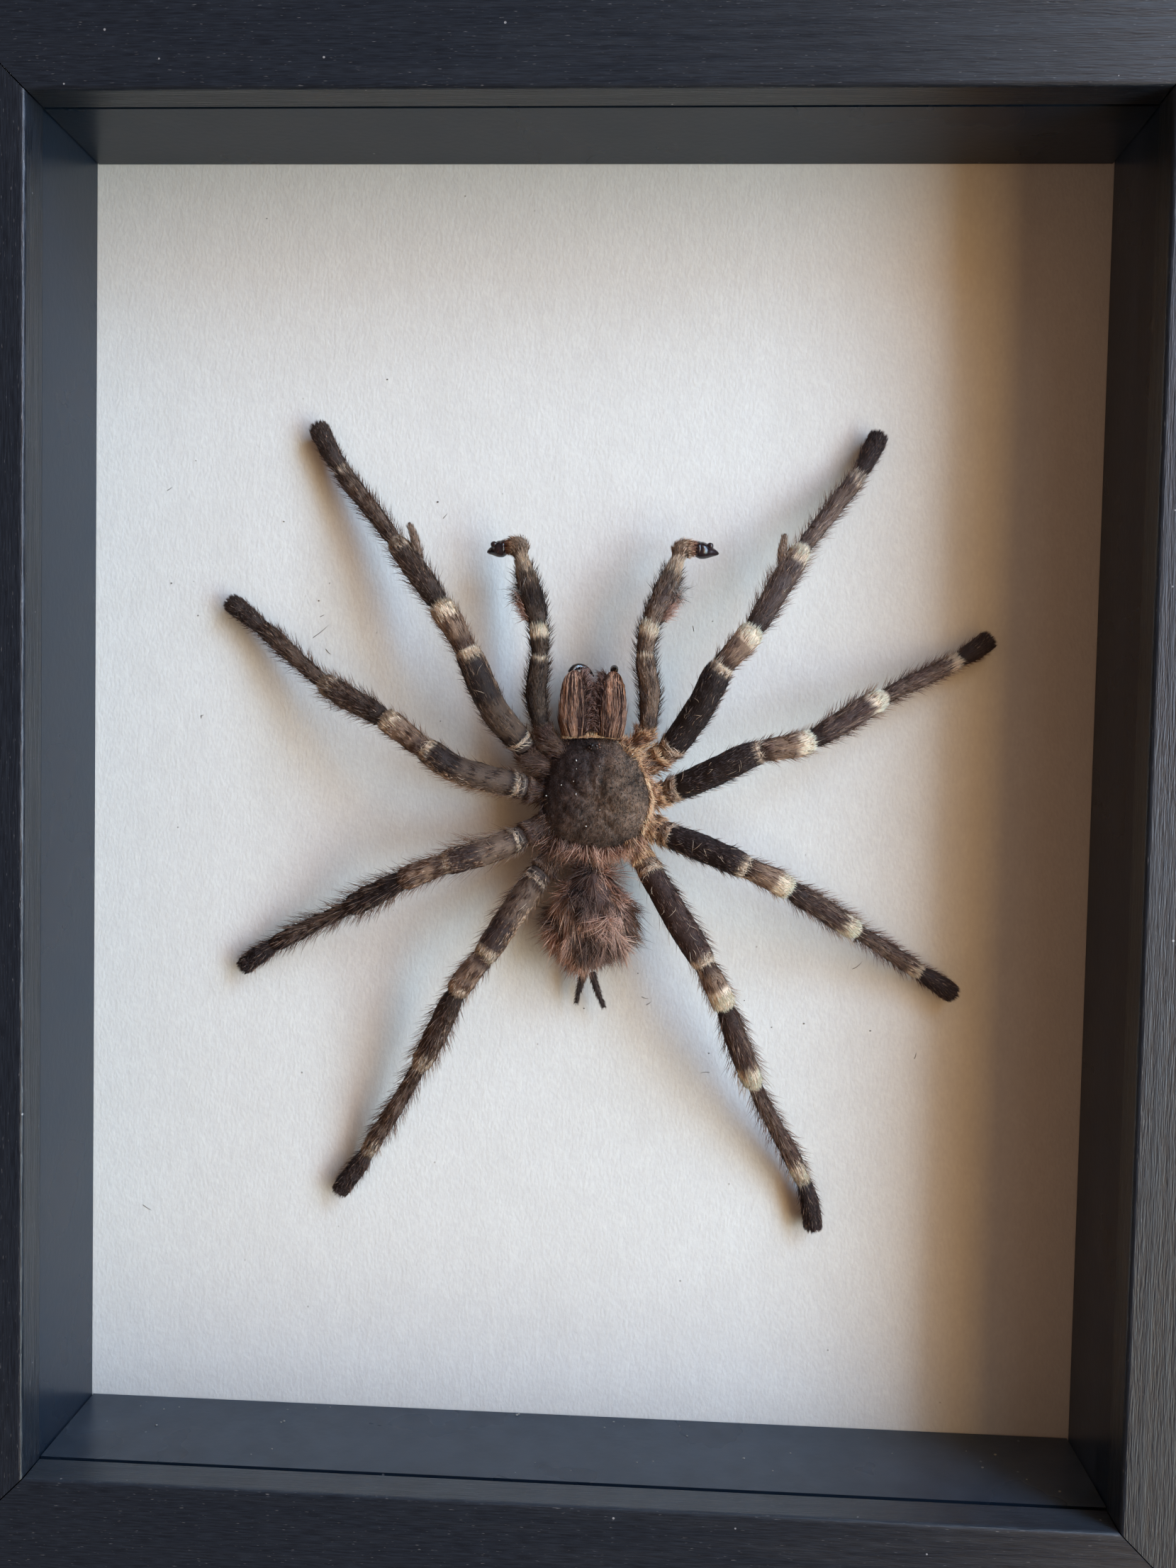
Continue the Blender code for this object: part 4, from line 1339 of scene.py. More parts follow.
@dataclass
class LegCoat:
    """How one leg's hair is coloured, with places counted in knots along the leg.

    shaggy is the side of the femur, +1 or -1, on which most of its long setae stand.
    """

    cream_bands: list[Triple]
    base: Colour
    femur: Colour
    shin: Colour
    foot: Colour
    dust: float
    shaggy: float
    fringe: float = 1.0
    shin_dust: float = 0.0
    femur_streak: float = 0.0
    lit_edge: float = 0.0
    knee: tuple[Colour, ...] = ((0.13, 0.07, 0.05), (0.20, 0.115, 0.085), (0.26, 0.165, 0.125))
    knee_streak: Colour = (0.60, 0.39, 0.26)
    thigh_streak: Colour = (0.58, 0.375, 0.25)
    lit: Colour = (0.72, 0.47, 0.305)

    def single_hairs(self) -> int:
        """Return how many single pale hairs lie on the thigh: more where it is plain and dark."""
        return 3 if self.femur_streak else 11

    def table(self) -> list[tuple[float, Colour]]:
        """Return the ground colour along the leg."""
        base, femur, shin, foot = np.array((self.base, self.femur, self.shin, self.foot))
        ring = base * 0.3 + np.array(CREAM) * 0.45
        hip = [(0.0, base), (0.55, base * 0.8), (0.62, ring), (0.74, base * 0.5), (0.86, base * 0.6),
               (0.92, ring * 1.15), (1.04, ring)]
        thigh = [(1.07, femur * 0.8), (1.16, femur), (2.7, femur), (2.9, femur * 1.25)]
        knee = list(zip((3.05, 3.4, 4.0), self.knee))
        shank = [(4.03, shin * 0.45), (4.3, shin * 0.8), (4.8, shin), (5.02, shin * 0.6), (5.4, shin * 1.1),
                 (5.8, shin * 0.85), (6.02, foot), (6.7, foot), (7.0, foot * 1.5)]
        return [(place, tuple(colour)) for place, colour in (*hip, *thigh, *knee, *shank)]

    def ground(self, places: Array, angles: Array, points: Array) -> Array:
        """Find the colour of the coat before each hair varies.

        Args:
            places: Where along the leg, in knots from its start.
            angles: Where round it, in radians from its top.
            points: The same places in the world.

        Returns:
            The colours.
        """
        colours = read_colours(self.table(), places)
        cloud = lattice_noise(points / (2.4 * MM), 21)
        near_knee = between((2.0, 2.6), (2.85, 2.95), places)
        shin = between((4.1, 4.4), (5.95, 6.05), places)
        share = self.dust * (0.35 + 0.65 * near_knee) + self.shin_dust * shin
        colours = mixed(colours, GREY, np.clip(share, 0.0, 1.0) * smoothstep(0.2, 0.8, cloud))
        strand = stacked(angles * 3.0, places * 1.1, 0.0)
        streak = smoothstep(0.50, 0.70, lattice_noise(strand, 5))
        on_patella = between((3.0, 3.1), (3.97, 4.01), places)
        colours = mixed(colours, self.knee_streak, streak * 0.75 * on_patella)
        colours = mixed(colours, TAN, streak * 0.38 * shin)
        thigh = between((1.1, 1.3), (2.8, 2.95), places)
        fine = smoothstep(0.54, 0.70, lattice_noise(strand * np.array((2.6, 0.9, 1.0)), 15))
        colours = mixed(colours, self.thigh_streak, fine * self.femur_streak * thigh)
        flank = smoothstep(0.35, 1.25, angles * np.sign(self.lit_edge))
        colours = mixed(colours, self.lit, abs(self.lit_edge) * flank * thigh * (0.6 + 0.4 * fine))
        lip = stacked(angles * 2.2, 0.0, 0.0)
        for start, end, strength in self.cream_bands:
            ragged = places + 0.16 * (lattice_noise(strand * 1.7, 9) - 0.5)
            ragged = ragged + 0.06 * (lattice_noise(lip, 8) - 0.5)
            inside = smoothstep(start - 0.05, start + 0.05, ragged) * (places < end)
            colours = mixed(colours, CREAM, strength * inside)
        return colours


@dataclass
class Leg:
    """One walking leg: skin, short coat and long setae.

    The tables lean, reach, clumping and tawny go with the places in joints: how far the short hair
    stands off the leg in degrees, how long it is, how far it clumps and how much of it is tawny.
    """

    name: str
    knots: Knots
    coat: LegCoat
    girth: float
    seed: int
    hook: Knots | None = None
    hook_radii: Row = (1.0, 0.68, 0.28)
    profile: Profile = field(default_factory=lambda: [
        (0.05, 2.2), (0.2, 2.6), (0.55, 2.75), (1.0, 2.9), (1.6, 3.1), (2.3, 3.1), (2.8, 3.0), (2.93, 2.8),
        (3.01, 2.3), (3.1, 2.35), (3.5, 2.6), (3.85, 2.7), (3.96, 2.55), (4.02, 2.0), (4.1, 2.2), (4.4, 2.5),
        (4.8, 2.5), (4.93, 2.35), (5.01, 1.65), (5.1, 1.65), (5.5, 1.8), (5.88, 1.85), (5.97, 1.65),
        (6.02, 1.5), (6.12, 1.85), (6.4, 2.1), (6.75, 2.08), (6.88, 1.9), (6.95, 1.55), (6.985, 1.0),
        (7.0, 0.4)])
    skin_share: float = 0.85
    joints: Row = (0, 0.9, 1.15, 2.85, 3.08, 3.7, 4.0, 4.06, 4.8, 5.02, 5.1, 5.9, 6.1, 7)
    lean: Row = (24, 18, 7, 7, 8, 7, 10, 11, 8, 12, 11, 8, 14, 26)
    reach: Row = (1.9, 1.2, 1.2, 1.1, 1.8, 2.1, 0.8, 1.5, 1.9, 0.8, 1.5, 1.8, 1.0, 0.8)
    clumping: Row = (0.45, 0.35, 0.10, 0.10, 0.14, 0.12, 0.08, 0.12, 0.14, 0.1, 0.14, 0.14, 0.12, 0.16)
    tawny: Row = (0.2, 0.1, 0.03, 0.05, 0.2, 0.2, 0, 0.1, 0.1, 0, 0.1, 0.12, 0.04, 0.04)
    setae_places: Row = (0, 1, 2, 2.9, 3.2, 3.9, 4.4, 5, 5.5, 6, 6.75)
    setae_reach: Row = (2.0, 1.6, 2.2, 1.5, 2.0, 1.8, 2.9, 2.6, 2.7, 1.7, 1.0)
    short_count: int = 12400
    long_count: int = 1150
    hook_count: int = 560
    thread_counts: tuple[int, int] = (95, 60)

    def tube(self) -> Tube:
        """Return the leg's skin as a tube."""
        return Tube(on_card(self.knots), self.profile, self.skin_share * self.girth, 0.28)

    def hook_tube(self) -> Tube:
        """Return the hook's skin as a tube."""
        return Tube(on_card(self.hook), even_profile(self.hook_radii), 1.0)

    def skin(self) -> Shell:
        """Return the closed skin, with the hook where the leg has one."""
        tube = self.tube()
        shell = tube.shell(150, 30)
        places = tube.nearest(shell.points, 420)
        shell.colours = root_shaded(self.coat.ground(places, np.zeros_like(places), shell.points), 0.4)
        if self.hook is None:
            return shell
        spur = self.hook_tube().shell(24, 14)
        tipped = smoothstep(0.8, 0.97, np.linspace(0.0, 1.0, len(spur.points)))
        spur.colours = mixed(HOOK_SKIN, HOOK_POINT, tipped)
        return Shell.joined([shell, spur])

    def hairs(self) -> Shell:
        """Return the coat: short hair all over, then long setae along the sides."""
        rng = np.random.default_rng(self.seed)
        shells = [self.short_coat(rng).shell(1), self.long_coat(rng).shell(2), self.threads(rng).shell(3)]
        if self.hook is not None:
            shells.append(self.hook_coat(rng).shell(1))
        return Shell.joined(shells).kept_off_card()

    def short_coat(self, rng: Chance) -> Hairs:
        """Grow the short hair, which lies towards the leg's tip and flattest on the femur.

        Args:
            rng: The seeded source of chance.

        Returns:
            The hair.
        """
        count = self.short_count
        places = self.tube().scattered(count, rng, 0.06, 6.995)
        angles = rng.uniform(-2.35, 2.35, count)
        points, out, along = self.tube().surface(places, angles)
        lean = np.radians(np.interp(places, self.joints, self.lean))
        length = np.interp(places, self.joints, self.reach) * rng.uniform(0.7, 1.2, count)
        heading = leaning(along, out, lean)
        clump = np.interp(places, self.joints, self.clumping)
        heading = unit(heading + (wavered(heading, points, rng, 1.0, 0.0) - heading) * clump[:, None]
                       + rng.normal(0.0, 0.055, heading.shape))
        colours = self.coat.ground(places, angles, points)
        tawny = rng.uniform(size=count) < np.interp(places, self.joints, self.tawny)
        colours = varied(mixed(colours, TAN, tawny * 0.6), rng, 0.34)
        width = rng.uniform(0.115, 0.18, count)
        tip = np.clip(colours * 1.15, 0.0, 0.97)
        return Hairs(points - out * 0.05 * MM, heading, -out * 0.10, length, width, root_shaded(colours), tip)

    def long_coat(self, rng: Chance) -> Hairs:
        """Grow the long setae, most of them along both sides, and on the femur along its shaggy side.

        Args:
            rng: The seeded source of chance.

        Returns:
            The setae.
        """
        count = self.long_count
        places = self.tube().scattered(count, rng, 0.2, 6.75)
        femur = (places > 1.1) & (places < 2.95)
        thinned = femur & (rng.uniform(size=count) < 0.45)
        places = np.where(thinned, self.tube().scattered(count, rng, 4.05, 6.5), places)
        femur = femur & ~thinned
        shaggy = rng.uniform(size=count) < np.where(femur, 0.85, 0.5)
        side = np.where(shaggy, self.coat.shaggy, -self.coat.shaggy)
        flank = rng.uniform(size=count) < 0.75
        angles = side * np.where(flank, rng.normal(1.5, 0.28, count), rng.uniform(0.0, 1.3, count))
        points, out, along = self.tube().surface(places, angles)
        lean = np.radians(np.where(femur, rng.uniform(18.0, 44.0, count), rng.uniform(20.0, 52.0, count)))
        length = np.interp(places, self.setae_places, self.setae_reach)
        fringe = np.where(femur, self.coat.fringe, 0.7 + 0.3 * self.coat.fringe)
        length = length * rng.uniform(0.6, 1.3, count) * fringe
        heading = wavered(leaning(along, out, lean), points, rng, 0.10, 0.08)
        bends = along * rng.uniform(0.0, 0.25, count)[:, None] + rng.normal(0.0, 0.06, (count, 3))
        dark = mixed(DARK, self.coat.ground(places, angles, points), 0.45)
        tip = mixed(dark, RUST, rng.uniform(0.1, 0.8, count))
        pale = rng.uniform(size=count) < 0.20 + 0.6 * max(self.coat.fringe - 1.4, 0.0)
        tip = np.clip(np.where(pale[:, None], np.array(SETA_PALE), tip), 0.0, 0.9)
        width = rng.uniform(0.065, 0.105, count)
        return Hairs(points - out * 0.05 * MM, heading, bends, length, width, dark, tip)

    def threads(self, rng: Chance) -> Hairs:
        """Grow tangled cream threads round the base and the knee, and single curved hairs on the thigh.

        Args:
            rng: The seeded source of chance.

        Returns:
            The threads.
        """
        knee, base = self.thread_counts
        single = self.coat.single_hairs()
        count = knee + base + single
        places = np.concatenate([rng.normal(3.01, 0.035, knee), rng.normal(0.98, 0.05, base),
                                 rng.uniform(1.2, 2.8, single)])
        angles = np.concatenate([rng.uniform(-1.9, 1.9, knee + base), rng.uniform(-1.1, 1.1, single)])
        points, out, along = self.tube().surface(places, angles)
        loose = (np.arange(count) >= knee + base)[:, None]
        round_ = np.cross(along, out) * rng.choice((-1.0, 1.0), count)[:, None]
        heading = unit(round_ + out * 0.22 + along * rng.normal(0.0, 0.35, count)[:, None])
        curved = unit(along + round_ * rng.normal(0.0, 0.8, count)[:, None] + out * 0.35)
        heading = np.where(loose, curved, heading)
        bends = -out * np.where(loose, 0.25, 0.55) + along * rng.normal(0.0, 0.35, count)[:, None]
        bends = bends + np.where(loose, round_ * rng.normal(0.0, 0.5, count)[:, None], 0.0)
        lengths = np.where(loose[:, 0], rng.uniform(1.2, 2.4, count), rng.uniform(0.9, 2.0, count))
        colours = mixed(CREAM, THREAD_TAWNY, rng.uniform(0.0, 0.8, count))
        widths = np.where(loose[:, 0], 0.075, rng.uniform(0.10, 0.15, count))
        return Hairs(points, heading, bends, lengths, widths, colours * 0.85, colours)

    def hook_coat(self, rng: Chance) -> Hairs:
        """Return the pale hair that lies along the hook."""
        count = self.hook_count
        places = rng.uniform(0.0, 1.72, count)
        points, out, along = self.hook_tube().surface(places, rng.uniform(-np.pi, np.pi, count))
        heading = wavered(unit(along * 0.96 + out * 0.26), points, rng, 0.1, 0.08)
        colours = mixed(HOOK_HAIR, DARK, rng.uniform(0.0, 0.65, count))
        return Hairs(points, heading, 0.0, rng.uniform(0.8, 1.4, count), 0.12, colours * 0.7, colours)

    def build(self, finishes: SpecimenFinishes) -> None:
        """Add the skin, which stands for the CAD leg, and the hair on it."""
        add_coated(self.name, self.skin(), self.hairs(), finishes)


@dataclass
class Palp:
    """One palp: a hairy limb that ends in a glossy bulb."""

    name: str
    knots: Knots
    seed: int
    outer: float
    # shade scales the thigh's colour and its tan streaks: below 1 it is painted shade, as on the left palp,
    # above 1 painted light, as on the right one.
    shade: float = 1.0
    profile: Profile = field(default_factory=lambda: [
        (0.0, 1.9), (1.0, 2.2), (1.7, 2.5), (2.5, 2.5), (2.85, 2.35), (3.02, 1.95), (3.15, 2.05), (3.6, 2.3),
        (3.93, 2.3), (4.02, 2.0), (4.2, 2.4), (4.6, 2.75), (5.1, 2.75), (5.6, 2.0), (5.95, 1.55), (6.15, 1.6),
        (6.5, 2.05), (6.9, 2.4), (7.2, 2.4), (7.6, 2.0), (8.0, 1.55), (8.25, 1.25), (8.4, 0.8)])
    coat: tuple[tuple[float, Colour], ...] = (
        (0.0, (0.24, 0.15, 0.10)), (1.0, (0.13, 0.09, 0.075)), (1.4, (0.115, 0.080, 0.065)),
        (2.8, (0.135, 0.092, 0.074)), (3.1, (0.15, 0.095, 0.070)), (3.5, (0.22, 0.15, 0.11)),
        (4.0, (0.2, 0.14, 0.11)), (4.03, (0.08, 0.056, 0.05)), (5.05, (0.15, 0.100, 0.085)),
        (5.4, (0.50, 0.36, 0.25)), (6.0, (0.74, 0.54, 0.38)), (6.3, (0.34, 0.235, 0.17)),
        (7.1, (0.46, 0.31, 0.21)), (7.45, (0.50, 0.30, 0.18)), (7.9, (0.26, 0.10, 0.065)),
        (8.4, (0.14, 0.05, 0.036)))
    cream_bands: tuple[Triple, ...] = ((2.92, 3.06, 0.9), (3.58, 3.99, 0.9), (5.5, 5.98, 0.45))
    gaps: Colour = (0.12, 0.078, 0.064)
    lean: tuple[Row, Row] = (
        (0, 1, 2.9, 3.1, 4, 4.2, 6, 6.4, 7.2, 8), (22, 10, 8, 10, 10, 12, 14, 40, 44, 16))
    stray: tuple[Row, Row] = ((0.8, 1.2, 2.9, 3.1, 6.0, 6.4), (0.12, 0.05, 0.05, 0.08, 0.10, 0.14))
    reach: tuple[Row, Row] = ((0, 2.8, 3.1, 4, 5, 6, 7, 8.3), (1.6, 1.2, 1.5, 1.5, 1.7, 1.5, 1.0, 1.1))
    short_count: int = 5200
    long_count: int = 520
    tuft_count: int = 190
    wisp_count: int = 230
    bulb_line: tuple[Pair, ...] = ((0.0, 0.0), (0.25, -0.1), (0.5, -0.2), (0.75, -0.2), (1.0, -0.3))
    bulb_profile: Profile = field(default_factory=lambda: [
        (0.0, 0.8), (0.4, 1.35), (1.0, 1.62), (1.7, 1.5), (2.4, 1.12), (3.1, 0.75), (3.7, 0.34), (4.0, 0.05)])

    def tube(self) -> Tube:
        """Return the palp's skin as a tube."""
        return Tube(on_card(self.knots), self.profile, 0.72, 0.25)

    def ground(self, places: Array, angles: Array, points: Array) -> Array:
        """Find the colour of the coat before each hair varies.

        Args:
            places: Where along the palp, in knots from its start.
            angles: Where round it, in radians from its top.
            points: The same places in the world.

        Returns:
            The colours.
        """
        # The shade factor paints the thigh in shade or in light.
        colours = read_colours(self.coat, places) * np.interp(places, [4.9, 5.3], [self.shade, 1.0])[:, None]
        streak = lattice_noise(stacked(angles * 2.4, places * 1.2, 0.0), 6)
        colours = mixed(colours, TAN, self.shade * 0.4 * smoothstep(0.5, 0.75, streak))
        upper = between((5.0, 5.2), (6.0, 6.3), places)
        gap = smoothstep(0.52, 0.36, lattice_noise(stacked(angles * 3.4, places * 2.0, 0.0), 7))
        colours = mixed(colours, self.gaps, 0.75 * upper * gap)
        for start, end, strength in self.cream_bands:
            inside = smoothstep(start - 0.08, start + 0.08, places)
            colours = mixed(colours, CREAM, strength * inside * (places < end))
        return colours

    def skin(self) -> Shell:
        """Return the closed skin."""
        tube = self.tube()
        shell = tube.shell(110, 26)
        places = tube.nearest(shell.points, 400)
        shell.colours = self.ground(places, np.zeros_like(places), shell.points) * 0.55
        return shell

    def hairs(self) -> Shell:
        """Return the short coat, the setae and the curly tuft on the outer side of the tibia."""
        rng = np.random.default_rng(self.seed)
        coats = [self.short_coat(rng).shell(1), self.long_coat(rng).shell(2), self.tuft(rng).shell(3)]
        return Shell.joined(coats).kept_off_card()

    def short_coat(self, rng: Chance) -> Hairs:
        """Grow the short hair, which stands up only towards the palp's tip.

        Args:
            rng: The seeded source of chance.

        Returns:
            The hair.
        """
        count = self.short_count
        places = self.tube().scattered(count, rng, 0.02, 8.35)
        angles = rng.uniform(-2.6, 2.6, count)
        points, out, along = self.tube().surface(places, angles)
        lean = np.radians(np.interp(places, *self.lean))
        stray = np.interp(places, *self.stray)[:, None]
        heading = wavered(leaning(along, out, lean), points, rng, 0.16, 0.0)
        heading = unit(heading + rng.normal(0.0, 1.0, heading.shape) * stray)
        length = np.interp(places, *self.reach) * rng.uniform(0.65, 1.2, count)
        colours = varied(self.ground(places, angles, points), rng, 0.36)
        width = rng.uniform(0.11, 0.175, count)
        tip = np.clip(colours * 1.15, 0.0, 0.97)
        return Hairs(points, heading, -out * 0.1, length, width, root_shaded(colours), tip)

    def long_coat(self, rng: Chance) -> Hairs:
        """Return the setae along both sides, which leave the tip bare."""
        count = self.long_count
        places = self.tube().scattered(count, rng, 0.02, 8.35, 0.80)
        angles = rng.choice((-1.0, 1.0), count) * rng.normal(1.5, 0.25, count)
        points, out, along = self.tube().surface(places, angles)
        lean = np.radians(rng.uniform(22.0, 50.0, count))
        heading = wavered(leaning(along, out, lean), points, rng, 0.12, 0.12)
        tip = mixed(DARK, TAN, rng.uniform(0.05, 0.6, count))
        length = rng.uniform(1.3, 2.6, count)
        return Hairs(points, heading, along * 0.15, length, rng.uniform(0.08, 0.12, count), DARK, tip)

    def tuft(self, rng: Chance) -> Hairs:
        """Grow the curly grizzled tuft and the soft pale wisps below it.

        Args:
            rng: The seeded source of chance.

        Returns:
            The hair.
        """
        count = self.tuft_count + self.wisp_count
        wisp = np.arange(count) >= self.tuft_count
        places = np.where(wisp, rng.uniform(4.2, 5.0, count), rng.normal(5.12, 0.10, count))
        angles = self.outer * rng.normal(1.45, 0.28, count)
        points, out, along = self.tube().surface(places, angles)
        heading = np.where(wisp[:, None], along * 0.75 + out * 0.75, out)
        heading = unit(heading + rng.normal(0.0, 0.22, (count, 3)))
        bends = rng.normal(0.0, 1.0, (count, 3)) * np.where(wisp, 0.2, 0.9)[:, None]
        grey = np.array(TUFT_GREY) * rng.choice((0.08, 1.0), count)[:, None]
        pink = np.array(WISP_PINK) * rng.uniform(0.5, 1.1, count)[:, None]
        colours = np.where(wisp[:, None], pink, grey)
        lengths = np.where(wisp, rng.uniform(1.2, 2.8, count), rng.uniform(0.9, 1.7, count))
        return Hairs(points, heading, bends, lengths, 0.10, colours * 0.8, colours)

    def bulb(self) -> Shell:
        """Return the glossy bulb: a pear that narrows to a point, with a round knob on its upper side."""
        root, tip = catmull_rom(np.array(self.knots, float), np.array((8.05, 10.15)))
        way = tip - root
        up = np.array((0.0, 1.0, 0.0))
        line = [root + way * share + up * rise for share, rise in self.bulb_line]
        body = Tube(on_card(line), self.bulb_profile).shell(44, 28)
        knob = Bead(tuple(root + way * 0.62 + up * 0.85 + np.array((0.0, 0.0, 0.75))), (0.66, 0.64, 0.66))
        collar = Bead(tuple(root + way * 0.16), (0.95, 1.55, 1.6))
        return Shell.joined([body, knob.shell(16, 24), collar.shell(20, 28)])

    def build(self, finishes: SpecimenFinishes) -> None:
        """Add the palp, its hair and its bulb."""
        add_coated(self.name, self.skin(), self.hairs(), finishes)
        add_piece(self.name + "_bulb", self.bulb().mesh(self.name + "_bulb"), finishes.bulb, "fang")


@dataclass
class Bead(Ball):
    """A small smooth ellipsoid."""

    centre: Triple
    radii: Triple

    def shape(self, units: Array) -> Array:
        """Return centre + radii * unit point."""
        return np.array(self.centre) + units * np.array(self.radii)


@dataclass
class Carapace(Ball):
    """The cephalothorax without its limbs: a squarish dome over a keeled underside.

    Across is half width * square * taper * x and up is half length * square * y, where square is
    (|cos|^p + |sin|^p)^(-1/p) of the unit point's turn, its power p greater towards the blunt head,
    and taper = 1 - head taper * y^1.3 narrows the head. Above the rim the height rises by dome * z,
    less the fovea's dimple and shallow grooves that run out from it.
    """

    centre: Pair = (2.9, 2.3)
    half: Pair = (10.4, 10.6)
    rim: float = 8.6
    dome: float = 4.0
    keel: float = 6.3
    squareness: Pair = (2.6, 4.6)
    head_taper: float = 0.43
    head_shift: float = -0.85
    inset: float = 0.995
    fovea: Pair = (0.0, -0.22)
    grooves: Row = (38.0, 78.0, 102.0, 142.0, 188.0, 232.0, 308.0, 352.0)

    def furrow(self, x: Array, y: Array) -> Array:
        """Return how deep the grooves are, 0 to 1, at places in half sizes from the middle.

        Each groove is a ray out of the fovea whose depth falls off with the distance from the ray.
        """
        away_x, away_y = x - self.fovea[0], y - self.fovea[1]
        away = np.hypot(away_x, away_y)
        turn = np.degrees(np.arctan2(away_y, away_x))
        bend = 10.0 * (lattice_noise(stacked(x * 3.0, y * 3.0, 0.0), 14) - 0.5)
        rays = np.stack([(turn + bend - angle + 180.0) % 360.0 - 180.0 for angle in self.grooves])
        depth = np.exp(-((rays * np.maximum(away, 0.08) / 4.2) ** 2)).max(0)
        return depth * between((0.10, 0.30), (0.70, 1.0), away)

    def shape(self, units: Array) -> Array:
        """Return places for unit points."""
        x, y, z = units[..., 0], units[..., 1], units[..., 2]
        flat = np.maximum(np.hypot(x, y), 1e-9)
        power = self.squareness[0] + (self.squareness[1] - self.squareness[0]) * smoothstep(0.0, 0.5, y)
        square = np.maximum(np.abs(x / flat) ** power + np.abs(y / flat) ** power, 0.1) ** (-1.0 / power)
        taper = 1.0 - self.head_taper * np.maximum(y, 0.0) ** 1.3
        across = self.half[0] * self.inset * square * taper * x + self.head_shift * np.maximum(y, 0.0) ** 2
        up = self.half[1] * self.inset * square * y
        height = self.rim + np.where(z > 0.0, self.dome, self.keel) * self.inset * z
        away = np.hypot(x - self.fovea[0], y - self.fovea[1])
        dimple = 1.0 * np.exp(-((away / 0.20) ** 2))
        rough = 0.35 * (lattice_noise(stacked(x * 9.0, y * 9.0, z * 9.0), 2) - 0.5)
        rough = rough + 0.16 * (lattice_noise(stacked(x * 22.0, y * 22.0, z * 22.0), 4) - 0.5)
        height = height - np.where(z > 0.0, dimple + 0.28 * self.furrow(x, y) + rough, 0.0)
        return stacked(self.centre[0] + across, self.centre[1] + up, height)


